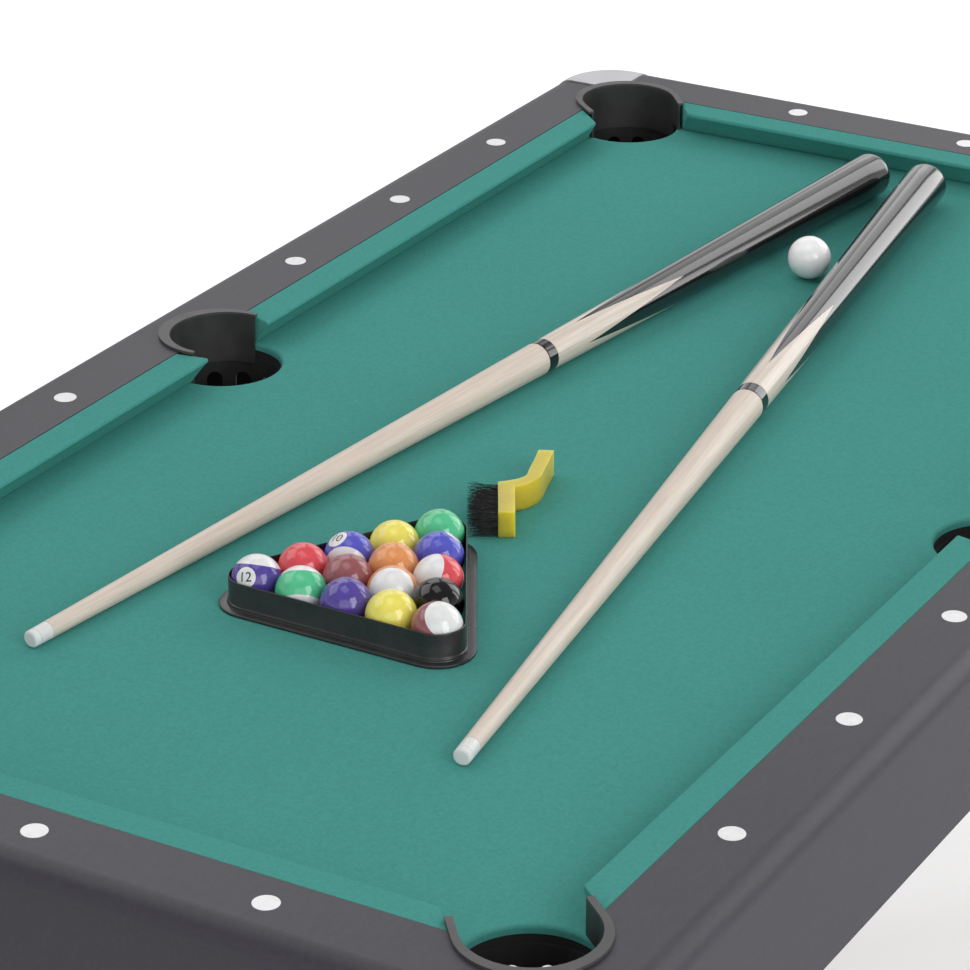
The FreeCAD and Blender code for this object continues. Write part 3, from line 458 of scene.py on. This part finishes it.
def maple_parts(tree, place, colour):
    """Grain of pale maple running along the cue."""
    long_grain = noise(tree, place, 420.0, 4.0, 0.6, (1.0, 1.0, 0.03))
    figure = noise(tree, place, 60.0, 3.0, 0.5, (1.0, 1.0, 0.12))
    plain = tone(tree, long_grain, colour, 0.90, 1.06, 0.35, 0.65)
    tint = mix_colour(tree, spread(tree, figure, 0.0, 0.28, 0.45, 0.7), plain,
                      (colour[0] * 0.92, colour[1] * 0.84, colour[2] * 0.76))
    return tint, long_grain


def maple_material():
    colour = tuple(colours().maple)
    material, tree, shader, place = start_material("maple", colour, 0.42, Coat_Weight=0.15,
                                                   Coat_Roughness=0.3)
    tint, long_grain = maple_parts(tree, place, colour)
    paint(tree, shader, tint)
    bump(tree, long_grain, 0.10, 0.0001, shader)
    return material


def butt_material():
    """Black lacquer with four maple points running into it."""
    colour = tuple(colours().maple)
    dark = tuple(colours().lacquer)
    material, tree, shader, place = start_material("butt", dark, 0.2, Coat_Weight=0.6, Coat_Roughness=0.06)
    tint, long_grain = maple_parts(tree, place, colour)
    parts = split(tree, place)
    angle = math_node(tree, "ARCTAN2", parts[1], parts[0])
    swing = math_node(tree, "PINGPONG", math_node(tree, "SUBTRACT", angle, POINTS_TURN), math.pi / 4)
    reach = spread(tree, parts[2], 0.0, math.pi / 4, POINTS[0], POINTS[1])
    black = math_node(tree, "LESS_THAN", swing, reach)
    paint(tree, shader, mix_colour(tree, black, tint, dark))
    wire(tree, math_node(tree, "MULTIPLY_ADD", black, -0.26, 0.42), shader.inputs["Roughness"])
    bare = math_node(tree, "SUBTRACT", 1.0, black)
    bump(tree, math_node(tree, "MULTIPLY", long_grain, bare), 0.08, 0.0001, shader)
    return material


def ring_material():
    material, tree, shader, place = start_material("cue_ring", (0.006, 0.006, 0.006), 0.12, Coat_Weight=0.5,
                                                   Coat_Roughness=0.05)
    smear = noise(tree, place, 90.0, 3.0, 0.5)
    sheen(tree, shader, smear, 0.10, 0.2)
    return material


def ferrule_material():
    colour = (0.70, 0.695, 0.69)
    material, tree, shader, place = start_material("ferrule", colour, 0.3, Subsurface_Weight=0.15,
                                                   Subsurface_Scale=0.004)
    cloud = noise(tree, place, 260.0, 3.0, 0.6)
    paint(tree, shader, tone(tree, cloud, colour, 0.93, 1.04))
    bump(tree, cloud, 0.08, 0.0001, shader)
    return material


def tip_material():
    colour = (0.73, 0.73, 0.73)
    material, tree, shader, place = start_material("cue_tip", colour, 0.8)
    fibre = noise(tree, place, 1500.0, 3.0, 0.7)
    paint(tree, shader, tone(tree, fibre, colour, 0.85, 1.05))
    bump(tree, fibre, 0.3, 0.0002, shader)
    return material


def along(tree, place, way):
    """How far a point lies along a direction from the ball's middle."""
    node = tree.nodes.new("ShaderNodeVectorMath")
    node.operation = "DOT_PRODUCT"
    wire(tree, place, node.inputs[0])
    node.inputs[1].default_value = Vector(way).normalized()
    return node.outputs["Value"]


def ball_material(number, axis=None, way=None):
    """Polished resin: a white ball for 0, else a solid or striped ball with a white number disc."""
    tint = BALL_TINTS[number if number <= 8 else number - 8] if number else CUE_BALL_TINT
    material, tree, shader, place = start_material("ball_resin_%02d" % number, tint, 0.05,
                                                   Specular_IOR_Level=0.6, Subsurface_Weight=0.6,
                                                   Subsurface_Scale=0.015)
    shader.inputs["Subsurface Radius"].default_value = (1.0, 1.0, 1.0)
    cloud = noise(tree, place, 70.0, 3.0, 0.5)
    body = tone(tree, cloud, tint, 0.94, 1.05)
    white = None
    if number > 8:
        half = STRIPE_HALF.get(number, sizes().stripe)
        height = math_node(tree, "ABSOLUTE", along(tree, place, axis))
        white = math_node(tree, "GREATER_THAN", height, BALL_R * half)
    if number:
        disc = math_node(tree, "GREATER_THAN", along(tree, place, way), BALL_R * math.cos(sizes().disc_angle))
        white = math_node(tree, "MAXIMUM", white, disc) if white else disc
        body = mix_colour(tree, white, body, IVORY)
    paint(tree, shader, body)
    sheen(tree, shader, noise(tree, place, 140.0, 3.0, 0.6), 0.03, 0.06)
    return material


def ink_material():
    material, tree, shader, place = start_material("ball_ink", (0.01, 0.01, 0.012), 0.15)
    sheen(tree, shader, noise(tree, place, 400.0, 2.0, 0.5), 0.1, 0.2)
    return material


def brush_material():
    colour = tuple(colours().brush)
    material, tree, shader, place = start_material("brush_plastic", colour, 0.3, Subsurface_Weight=1.0,
                                                   Subsurface_Scale=0.03, Coat_Weight=0.1)
    shader.inputs["Subsurface Radius"].default_value = (1.0, 0.85, 0.2)
    cloud = noise(tree, place, 60.0, 3.0, 0.5)
    paint(tree, shader, tone(tree, cloud, colour, 0.92, 1.06))
    bump(tree, cloud, 0.08, 0.0005, shader)
    return material


def bristle_material():
    colour = (0.010, 0.010, 0.010)
    material, tree, shader, place = start_material("bristle", colour, 0.42)
    strand_tone_and_glint = noise(tree, place, 900.0, 2.0, 0.5, (0.05, 1.0, 1.0))
    # paler streaks along the strands: partly random tone, partly painted highlight
    paint(tree, shader, tone(tree, strand_tone_and_glint, colour, 0.5, 5.0, 0.35, 0.65))
    return material


def dress(name, material):
    """Gives a frame node its finish."""
    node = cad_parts[name]
    node.data.materials.clear()
    node.data.materials.append(material)
    return node


# Mesh building
def new_piece(name, mesh_data, material, smooth=True):
    mesh = bpy.data.meshes.new(name)
    if isinstance(mesh_data, bmesh.types.BMesh):
        mesh_data.to_mesh(mesh)
        mesh_data.free()
    else:
        verts, faces = mesh_data
        mesh.from_pydata(verts, [], faces)
    mesh.update()
    if smooth:
        mesh.shade_smooth()
    piece = bpy.data.objects.new(name, mesh)
    bpy.context.scene.collection.objects.link(piece)
    mesh.materials.append(material)
    return piece


def sharpen(mesh, angle):
    """Keeps edges sharper than the angle crisp."""
    work = bmesh.new()
    work.from_mesh(mesh)
    for edge in work.edges:
        if len(edge.link_faces) == 2 and edge.calc_face_angle(0.0) > angle:
            edge.smooth = False
    work.to_mesh(mesh)
    work.free()


def lathe(profile, sides, material, name):
    """A turned piece about local Z from (radius, height) points; a radius of 0 closes it."""
    work = bmesh.new()
    rings = []
    for radius, height in profile:
        if radius < 1e-7:
            rings.append([work.verts.new((0, 0, height))])
            continue
        ring = []
        for k in range(sides):
            angle = 2 * math.pi * k / sides
            ring.append(work.verts.new((radius * math.cos(angle), radius * math.sin(angle), height)))
        rings.append(ring)
    for low, high in zip(rings[:-1], rings[1:]):
        for k in range(sides):
            after = (k + 1) % sides
            if len(low) == 1:
                work.faces.new((low[0], high[after], high[k]))
            elif len(high) == 1:
                work.faces.new((low[k], low[after], high[0]))
            else:
                work.faces.new((low[k], low[after], high[after], high[k]))
    bmesh.ops.recalc_face_normals(work, faces=work.faces)
    piece = new_piece(name, work, material)
    sharpen(piece.data, math.radians(32))
    return piece


def pocket_arc(centre, start, end, count):
    """Points clockwise round a pocket from start to end."""
    first = math.atan2(start[1] - centre[1], start[0] - centre[0])
    last = math.atan2(end[1] - centre[1], end[0] - centre[0])
    while last > first:
        last -= 2 * math.pi
    return [first + (last - first) * k / count for k in range(count + 1)]


def pocket_mouths(radius):
    """Centre, start point and end point of the six arcs that notch the bed's outline."""
    half_x, half_y = BED_HALF
    cx, cy = CORNER_POCKET
    y_cut = cy - math.sqrt(radius ** 2 - (half_x - cx) ** 2)
    x_cut = cx - math.sqrt(radius ** 2 - (half_y - cy) ** 2)
    s_cut = math.sqrt(radius ** 2 - (half_y - SIDE_POCKET_Y) ** 2)
    return [
        ((cx, cy), (half_x, y_cut), (x_cut, half_y)),
        ((0.0, SIDE_POCKET_Y), (s_cut, half_y), (-s_cut, half_y)),
        ((-cx, cy), (-x_cut, half_y), (-half_x, y_cut)),
        ((-cx, -cy), (-half_x, -y_cut), (-x_cut, -half_y)),
        ((0.0, -SIDE_POCKET_Y), (-s_cut, -half_y), (s_cut, -half_y)),
        ((cx, -cy), (x_cut, -half_y), (half_x, -y_cut)),
    ]


class POOL_OT_bed_cloth(Operator):
    """Lay the bed's cloth and roll it into the six pockets"""
    bl_idname = "pool.bed_cloth"
    bl_label = "Bed cloth"

    def execute(self, context):
        flat = HOLE_R + LIP_R
        work = bmesh.new()
        outline = []
        lip_faces = []
        for centre, start, end in pocket_mouths(flat):
            rings = []
            for angle in pocket_arc(centre, start, end, 64):
                out = Vector((math.cos(angle), math.sin(angle)))
                line = []
                for step in range(9):
                    turn = math.radians(90 * step / 8)
                    radius = flat - LIP_R * math.sin(turn)
                    z = CLOTH_Z - LIP_R * (1 - math.cos(turn))
                    line.append(work.verts.new((centre[0] + radius * out.x, centre[1] + radius * out.y, z)))
                low_end = (centre[0] + HOLE_R * out.x, centre[1] + HOLE_R * out.y, LIP_LOW_Z)
                line.append(work.verts.new(low_end))
                rings.append(line)
                outline.append(line[0])
            for left, right in zip(rings[:-1], rings[1:]):
                for k in range(len(left) - 1):
                    lip_faces.append(work.faces.new((left[k], right[k], right[k + 1], left[k + 1])))
        bed = work.faces.new(outline)
        work.normal_update()
        for face in lip_faces:
            face.smooth = True
        bmesh.ops.triangulate(work, faces=[bed])
        bmesh.ops.recalc_face_normals(work, faces=work.faces)
        area = sum(face.calc_area() for face in work.faces)
        piece = new_piece("bed_cloth_sheet", work, cloth_material(), smooth=False)
        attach(piece, "table")
        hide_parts("bed_cloth")
        return {"FINISHED"}


def cushion_profile(nose, back):
    """Section of a cushion as (distance from the middle, height), going round from the back's foot."""
    radius = sizes().cushion_round
    foot = nose + CUSHION_FOOT
    top = RAIL_Z - 0.0016
    points = [(back, CLOTH_Z + 0.0002), (foot + 0.001, CLOTH_Z + 0.0002), (foot, CLOTH_Z + 0.0009)]
    low = top - 2.2 * radius
    for k in range(1, 7):
        part = k / 7
        sag = 0.0006 * math.sin(math.pi * part)
        across = foot + (nose + 0.0003 - foot) * part + sag
        points.append((across, CLOTH_Z + 0.0009 + (low - CLOTH_Z - 0.0009) * part))
    points.append((nose, low))
    for k in range(7):
        turn = math.radians(90 * k / 6)
        points.append((nose + radius * (1 - math.cos(turn)), top - radius + radius * math.sin(turn)))
    for part in (0.15, 0.4, 0.65, 0.9):
        points.append((nose + radius + (back - nose - radius) * part, top + (RAIL_Z - 0.0002 - top) * part))
    points.append((back - 0.0008, RAIL_Z - 0.0002))
    points.append((back, RAIL_Z - 0.0012))
    return points


def build_cushion(name, nose, back, low_end, high_end, along_x, flip_across, material):
    """A cushion whose two slanted ends are given as (position at the nose, position at the back)."""
    profile = cushion_profile(nose, back)
    work = bmesh.new()
    rings = []
    for station in range(25):
        share = station / 24
        ring = []
        for across, z in profile:
            lean = (across - nose) / (back - nose)
            low = low_end[0] + (low_end[1] - low_end[0]) * lean
            high = high_end[0] + (high_end[1] - high_end[0]) * lean
            run = low + (high - low) * share
            place = (run, across * flip_across, z) if along_x else (across * flip_across, run, z)
            ring.append(work.verts.new(place))
        rings.append(ring)
    count = len(profile)
    for left, right in zip(rings[:-1], rings[1:]):
        for k in range(count):
            after = (k + 1) % count
            work.faces.new((left[k], left[after], right[after], right[k]))
    ends = [work.faces.new(rings[0]), work.faces.new(list(reversed(rings[-1])))]
    bmesh.ops.recalc_face_normals(work, faces=work.faces)
    rim = list({edge for face in ends for edge in face.edges})
    bmesh.ops.bevel(work, geom=rim, offset=0.0012, segments=3, profile=0.5, affect="EDGES",
                    clamp_overlap=True)
    piece = new_piece(name, work, material)
    sharpen(piece.data, math.radians(40))
    return piece


class POOL_OT_cushions(Operator):
    """Cover the six cushions with cloth"""
    bl_idname = "pool.cushions"
    bl_label = "Cushions"

    def execute(self, context):
        material = bpy.data.materials["felt"]
        side_low, side_high = SIDE_MOUTH, CORNER_MOUTH_X
        end_mouth = CORNER_MOUTH_Y
        for side, across in (("left", 1), ("right", -1)):
            for end, along in (("far", 1), ("near", -1)):
                low = tuple(along * value for value in side_low)
                high = tuple(along * value for value in side_high)
                node = "cushion_%s_%s" % (side, end)
                piece = build_cushion(node + "_cloth", NOSE[1], CUSHION_BACK[1], low, high, True, across,
                                      material)
                self.place(piece, node)
        for end, across in (("far", 1), ("near", -1)):
            low = tuple(-value for value in end_mouth)
            node = "cushion_end_" + end
            piece = build_cushion(node + "_cloth", NOSE[0], CUSHION_BACK[0], low, end_mouth, False, across,
                                  material)
            self.place(piece, node)
        return {"FINISHED"}

    def place(self, piece, node):
        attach(piece, "table")
        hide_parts(node)


class POOL_OT_cabinet(Operator):
    """Finish the rails, panels, castings, pockets, legs and the frame under the bed"""
    bl_idname = "pool.cabinet"
    bl_label = "Cabinet"

    def execute(self, context):
        laminate = laminate_material()
        for name in ("rail_side_left", "rail_side_right", "rail_end_far", "rail_end_near", "legs"):
            dress(name, laminate)
        panel = panel_material()
        for name in ("panel_side_left", "panel_side_right", "panel_end_far", "panel_end_near"):
            dress(name, panel)
        liner = liner_material()
        for name in ("corner_liners", "side_liners"):
            dress(name, liner)
        basket = moulding_material("basket", 0.5, 600.0, 0.9)
        basket.node_tree.nodes["Principled BSDF"].inputs["Specular IOR Level"].default_value = 0.2
        for name in ("corner_baskets", "side_baskets"):
            dress(name, basket)
        dress("corner_caps", casting_material())
        dress("rail_sights", sight_material())
        dress("bed_board", board_material())
        dress("bed_frame", timber_material("softwood", (0.55, 0.40, 0.24), 90.0, 0.7))
        dress("leg_brackets", moulding_material("powder_coat", 0.5, 1500.0))
        steel = steel_material()
        for name in ("leg_screws", "rail_bolts"):
            dress(name, steel)
        foot = moulding_material("foot_plastic", 0.45, 700.0, 0.75)
        for name in ("leveller_far_left", "leveller_near_left", "leveller_far_right", "leveller_near_right"):
            dress(name, foot)
        return {"FINISHED"}


def digit_faces(text, height):
    """Flat triangles of a number, small enough to bend round a ball."""
    curve = bpy.data.curves.new("number", "FONT")
    curve.body = text
    curve.size = height
    curve.align_x = "CENTER"
    curve.align_y = "CENTER"
    curve.resolution_u = 6
    holder = bpy.data.objects.new("number", curve)
    bpy.context.scene.collection.objects.link(holder)
    bpy.context.view_layer.update()
    mesh = bpy.data.meshes.new_from_object(holder)
    work = bmesh.new()
    work.from_mesh(mesh)
    bpy.data.objects.remove(holder)
    bpy.data.curves.remove(curve)
    bpy.data.meshes.remove(mesh)
    step = height / 7
    for axis in (0, 1):
        for k in range(-12, 13):
            spot = [0, 0, 0]
            spot[axis] = k * step
            normal = [0, 0, 0]
            normal[axis] = 1
            bmesh.ops.bisect_plane(work, geom=work.verts[:] + work.edges[:] + work.faces[:], plane_co=spot,
                                   plane_no=normal, dist=1e-7)
    bmesh.ops.triangulate(work, faces=work.faces)
    return work


def number_piece(name, text, way, upward, material):
    """A number bent round the ball, facing one way."""
    out = Vector(way).normalized()
    upward = (Vector(upward) - out * out.dot(Vector(upward))).normalized()
    side = upward.cross(out)
    work = digit_faces(text, NUMBER_HEIGHT)
    for vert in work.verts:
        bent = out + side * (vert.co.x / BALL_R) + upward * (vert.co.y / BALL_R)
        vert.co = bent.normalized() * (BALL_R + NUMBER_PROUD)
    for face in work.faces:
        face.normal_update()
        if face.normal.dot(face.calc_center_median()) < 0:
            face.normal_flip()
    return new_piece(name, work, material)


def ball_mesh(rings):
    work = bmesh.new()
    bmesh.ops.create_uvsphere(work, u_segments=rings * 2, v_segments=rings, radius=BALL_R)
    return work


class POOL_OT_balls(Operator):
    """Set out the fifteen racked balls and the cue ball"""
    bl_idname = "pool.balls"
    bl_label = "Balls"

    def execute(self, context):
        ink = ink_material()
        for row, slot, number, axis, way, upward in BALLS:
            x = RACK_FIRST[0] + row * BALL_D * math.cos(RACK_HEADING)
            y = RACK_FIRST[1] + row * BALL_D * math.sin(RACK_HEADING) - slot * BALL_D
            node = "ball_%02d" % number
            finish = ball_material(number, axis, way)
            ball = new_piece(node + "_resin", ball_mesh(sizes().ball_rings), finish)
            ball.location = (x, y, CLOTH_Z + BALL_D / 2)
            mark = number_piece(node + "_number", str(number), way, upward, ink)
            mark.parent = ball
            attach(ball, node)
            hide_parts(node)
        ball = new_piece("cue_ball_resin", ball_mesh(sizes().ball_rings), ball_material(0))
        ball.location = (*CUE_BALL, CLOTH_Z + BALL_D / 2)
        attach(ball, "cue_ball")
        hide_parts("cue_ball")
        return {"FINISHED"}


def rack_corners():
    last = (RACK_ROWS - 1) * BALL_D
    x, y = RACK_FIRST
    return [(x, y), (x, y - last), (x + last * math.cos(RACK_HEADING), y + last * math.sin(RACK_HEADING))]


class POOL_OT_rack(Operator):
    """Mould the triangular rack round the balls"""
    bl_idname = "pool.rack"
    bl_label = "Rack"

    def execute(self, context):
        inside = RACK_INSIDE
        wall = inside + RACK_WALL
        bead = wall + RACK_WALL
        rim = inside + RACK_FOOT
        profile = [
            (inside, 0.0), (inside, 0.0288), (inside + 0.0002, 0.0295), (inside + 0.0005, 0.0298),
            (wall - 0.0005, 0.0298), (wall - 0.0002, 0.0295), (wall, 0.0288), (wall, 0.0068),
            (wall + 0.0003, 0.0062), (bead - 0.0006, 0.0058), (bead - 0.0001, 0.0053), (bead, 0.0046),
            (bead, 0.0036), (bead + 0.0004, 0.0030), (rim - 0.0010, 0.0029), (rim - 0.0003, 0.0026),
            (rim, 0.0020), (rim, 0.0006), (rim - 0.0004, 0.0001),
        ]
        corners = rack_corners()
        path = []
        for k, (x, y) in enumerate(corners):
            x0, y0 = corners[k - 1]
            first = math.atan2(y - y0, x - x0) - math.pi / 2
            for step in range(13):
                path.append((x, y, first + math.radians(120) * step / 12))
        work = bmesh.new()
        rings = []
        for x, y, angle in path:
            rings.append([work.verts.new((x + r * math.cos(angle), y + r * math.sin(angle), RACK_LOW + z))
                          for r, z in profile])
        for k, ring in enumerate(rings):
            after = rings[(k + 1) % len(rings)]
            for m in range(len(profile)):
                n = (m + 1) % len(profile)
                work.faces.new((ring[m], after[m], after[n], ring[n]))
        bmesh.ops.recalc_face_normals(work, faces=work.faces)
        piece = new_piece("rack_moulding", work, moulding_material("rack_plastic", 0.28, 1100.0, 0.75))
        sharpen(piece.data, math.radians(50))
        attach(piece, "rack")
        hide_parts("rack")
        return {"FINISHED"}


def cue_radius(along):
    return CUE_TIP_R + CUE_TAPER * along - 0.00003


def cue_matrix(cue):
    """Cue's frame: local Z from tip to butt, local X level and local Y upwards."""
    tilt = math.asin(CUE_TAPER)
    ux, uy = cue["heading"]
    along = Vector((ux * math.cos(tilt), uy * math.cos(tilt), math.sin(tilt)))
    level = Vector((-uy, ux, 0.0))
    upward = along.cross(level)
    place = Vector((*cue["at"], CLOTH_Z + CUE_LIFT + CUE_TIP_R * math.cos(tilt)))
    return Matrix.Translation(place) @ Matrix((level, upward, along)).transposed().to_4x4()


def rounded_start(start, radius, depth):
    """Profile points from the axis out to a rounded edge."""
    points = [(0.0, start), ((radius - depth) * 0.6, start)]
    for k in range(10):
        turn = math.radians(10 * k)
        points.append((radius - depth + depth * math.sin(turn), start + depth * (1 - math.cos(turn))))
    return points


class POOL_OT_cues(Operator):
    """Turn the two cues: tip, ferrule, shaft, joint ring and butt"""
    bl_idname = "pool.cues"
    bl_label = "Cues"

    def execute(self, context):
        tip_finish, ferrule_finish = tip_material(), ferrule_material()
        maple, ring_finish = maple_material(), ring_material()
        sides = sizes().cue_sides
        edge = 0.0004
        for name, cue in CUES.items():
            place = cue_matrix(cue)
            ring_low, ring_high = cue["ring"]
            low, high = FERRULE
            pieces = {}
            tip = rounded_start(0.0, cue_radius(0.0025), 0.0025)
            tip += [(cue_radius(low) - edge / 2, low - edge / 2), (cue_radius(low) - edge, low), (0.0, low)]
            pieces["tip"] = (tip, tip_finish, "shaft", "ferrule")
            pieces["ferrule"] = (self.band(low, high, edge / 2), ferrule_finish, "shaft", "ferrule")
            pieces["shaft"] = (self.band(high, ring_low - 0.0003, 0.0010), maple, "shaft", "maple")
            pieces["joint_collar"] = (self.band(ring_low, ring_high, edge), ring_finish, "butt", "cue_ring")
            butt = [(0.0, ring_high), (cue_radius(ring_high) - edge, ring_high),
                    (cue_radius(ring_high), ring_high + edge)]
            for part in (0.25, 0.5, 0.75, 0.95):
                reach = ring_high + (CUE_LENGTH - BUTT_ROUND - 0.001 - ring_high) * part
                butt.append((cue_radius(reach), reach))
            end = rounded_start(0.0, cue_radius(CUE_LENGTH - BUTT_ROUND), BUTT_ROUND)
            butt += [(radius, CUE_LENGTH - depth) for radius, depth in reversed(end)]
            pieces["butt"] = (butt, butt_material(), "butt", "cue_butt")
            for part, (profile, finish, body, slot) in pieces.items():
                node = "%s_%s" % (name, part)
                piece = lathe(profile, sides, finish, node + "_turned")
                piece.matrix_world = place
                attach(piece, "%s_%s" % (name, body))
                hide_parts(node)
        return {"FINISHED"}

    def band(self, low, high, edge):
        points = [(0.0, low), (cue_radius(low) - edge, low), (cue_radius(low + edge), low + edge)]
        for part in (0.2, 0.4, 0.6, 0.8):
            reach = low + (high - low) * part
            points.append((cue_radius(reach), reach))
        points += [(cue_radius(high - edge), high - edge), (cue_radius(high) - edge, high), (0.0, high)]
        return points


def brush_matrix():
    return Matrix.Translation((*BRUSH_AT, BRUSH_Z)) @ Matrix.Rotation(BRUSH_TURN, 4, "Z")


class POOL_OT_brush(Operator):
    """Finish the table brush and set its bristles"""
    bl_idname = "pool.brush"
    bl_label = "Brush"

    def execute(self, context):
        handle = dress("brush_handle", brush_material())
        bevel = handle.modifiers.new("eased_edges", "BEVEL")
        bevel.width = 0.0010
        bevel.segments = 3
        bevel.limit_method = "ANGLE"
        bevel.angle_limit = math.radians(40)
        bevel.harden_normals = True
        rng = random.Random(7)
        verts, faces = [], []
        wide, tall = BRUSH_WIDE, BRUSH_H
        for _ in range(sizes().bristles):
            y = rng.uniform(BRISTLE_EDGE, wide - BRISTLE_EDGE)
            z = rng.uniform(BRISTLE_EDGE, tall - BRISTLE_EDGE)
            lean_y = (y / wide - 0.5) * 0.006 + rng.gauss(0, 0.0026)
            lean_z = (z / tall - 0.5) * 0.004 + rng.gauss(0, 0.0021)
            wave = rng.gauss(0, 0.0007)
            reach = BRISTLE_OUT + rng.uniform(*BRISTLE_SPREAD)
            base = len(verts)
            for step in range(5):
                part = step / 4
                bend = part * part
                cx = -reach * part + 0.0005
                cy = y + lean_y * bend + wave * math.sin(5.0 * part)
                cz = min(max(z + lean_z * bend, 0.0004), tall + 0.001)
                width = BRISTLE_THICK * (1.0 - 0.55 * part)
                for corner in range(3):
                    angle = 2 * math.pi * corner / 3
                    verts.append((cx, cy + width * math.cos(angle), cz + width * math.sin(angle)))
            for step in range(4):
                for corner in range(3):
                    after = (corner + 1) % 3
                    a = base + step * 3
                    faces.append((a + corner, a + after, a + 3 + after, a + 3 + corner))
            faces.append((base + 12, base + 13, base + 14))
        tufts = new_piece("brush_tufts", (verts, faces), bristle_material())
        tufts.matrix_world = brush_matrix()
        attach(tufts, "brush")
        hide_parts("brush_bristles")
        return {"FINISHED"}


class POOL_OT_stage(Operator):
    """Set the floor, the soft light and the camera"""
    bl_idname = "pool.stage"
    bl_label = "Stage"

    def execute(self, context):
        scene = context.scene
        scene.view_settings.view_transform = "Standard"
        world = bpy.data.worlds.new("soft_room")
        world.use_nodes = True
        scene.world = world
        tree = world.node_tree
        backdrop = tree.nodes["Background"]
        backdrop.inputs["Color"].default_value = (1.0, 1.0, 1.0, 1.0)
        rays = tree.nodes.new("ShaderNodeLightPath")
        heading = split(tree, tree.nodes.new("ShaderNodeTexCoord").outputs["Generated"])
        glow = spread(tree, heading[2], HORIZON, ZENITH, 0.0, 0.5)
        seen = rays.outputs["Is Camera Ray"]
        wire(tree, math_node(tree, "MAXIMUM", glow, seen), backdrop.inputs["Strength"])
        floor = self.floor()
        for box in SOFTBOXES:
            self.softbox(*box)
        camera = bpy.data.cameras.new("camera")
        camera.lens = LENS
        camera.sensor_width = 36.0
        camera.clip_end = 100.0
        view = bpy.data.objects.new("camera", camera)
        view.location = CAMERA_AT
        view.rotation_euler = [math.radians(angle) for angle in CAMERA_TURN]
        scene.collection.objects.link(view)
        scene.camera = view
        return {"FINISHED"}

    def floor(self):
        material, tree, shader, place = start_material("floor", (0.86, 0.86, 0.87), 0.9,
                                                       Specular_IOR_Level=0.1)
        cloud = noise(tree, place, 3.0, 3.0, 0.5)
        paint(tree, shader, mix_colour(tree, cloud, (0.85, 0.85, 0.86), (0.87, 0.87, 0.88)))
        rays = tree.nodes.new("ShaderNodeLightPath")
        shader.inputs["Emission Color"].default_value = (1.0, 1.0, 1.0, 1.0)
        distance = tree.nodes.new("ShaderNodeVectorMath")
        distance.operation = "LENGTH"
        wire(tree, place, distance.inputs[0])
        fill = spread(tree, distance.outputs["Value"], *FLOOR_FILL, *FLOOR_FILL_REACH)
        wire(tree, math_node(tree, "MULTIPLY", rays.outputs["Is Camera Ray"], fill),
             shader.inputs["Emission Strength"])
        half = FLOOR_HALF
        corners = [(-half, -half, 0.0), (half, -half, 0.0), (half, half, 0.0), (-half, half, 0.0)]
        return new_piece("floor", (corners, [(0, 1, 2, 3)]), material, smooth=False)

    def softbox(self, name, azimuth, elevation, wide, high, radiance, distance):
        """A soft rectangular light in the given direction, its size given as angles."""
        turn, rise = math.radians(azimuth), math.radians(elevation)
        away = Vector((math.cos(turn) * math.cos(rise), math.sin(turn) * math.cos(rise), math.sin(rise)))
        light = bpy.data.lights.new(name, "AREA")
        light.shape = "RECTANGLE"
        light.size = 2 * distance * math.tan(math.radians(wide) / 2)
        light.size_y = 2 * distance * math.tan(math.radians(high) / 2)
        light.energy = radiance * math.pi * light.size * light.size_y
        lamp = bpy.data.objects.new(name, light)
        lamp.location = Vector(LIGHT_AIM) + away * distance
        lamp.rotation_euler = away.to_track_quat("Z", "Y").to_euler()
        lamp.visible_camera = False
        bpy.context.scene.collection.objects.link(lamp)


class POOL_PT_sidebar(Panel):
    """Sizes, colours and steps of the pool table"""
    bl_idname = "POOL_PT_sidebar"
    bl_label = "Pool table"
    bl_space_type = "VIEW_3D"
    bl_region_type = "UI"
    bl_category = "Pool table"

    def draw(self, context):
        layout = self.layout
        for group in (context.scene.pool_table_sizes, context.scene.pool_table_colours):
            box = layout.box()
            for key in group.bl_rna.properties.keys():
                if key not in {"rna_type", "name"}:
                    box.prop(group, key)
        for step in STEPS:
            layout.operator(step.bl_idname)


STEPS = (POOL_OT_bed_cloth, POOL_OT_cushions, POOL_OT_cabinet, POOL_OT_balls, POOL_OT_rack, POOL_OT_cues,
         POOL_OT_brush, POOL_OT_stage)
CLASSES = (ColourSettings, SizeSettings) + STEPS + (POOL_PT_sidebar,)


def register():
    for entry in CLASSES:
        bpy.utils.register_class(entry)
    bpy.types.Scene.pool_table_colours = PointerProperty(type=ColourSettings)
    bpy.types.Scene.pool_table_sizes = PointerProperty(type=SizeSettings)


def unregister():
    del bpy.types.Scene.pool_table_sizes
    del bpy.types.Scene.pool_table_colours
    for entry in reversed(CLASSES):
        bpy.utils.unregister_class(entry)


def main():
    register()
    for name in ("bed_cloth", "cushions", "cabinet", "balls", "rack", "cues", "brush", "stage"):
        getattr(bpy.ops.pool, name)()
    bpy.context.view_layer.update()


if __name__ == "__main__":
    main()
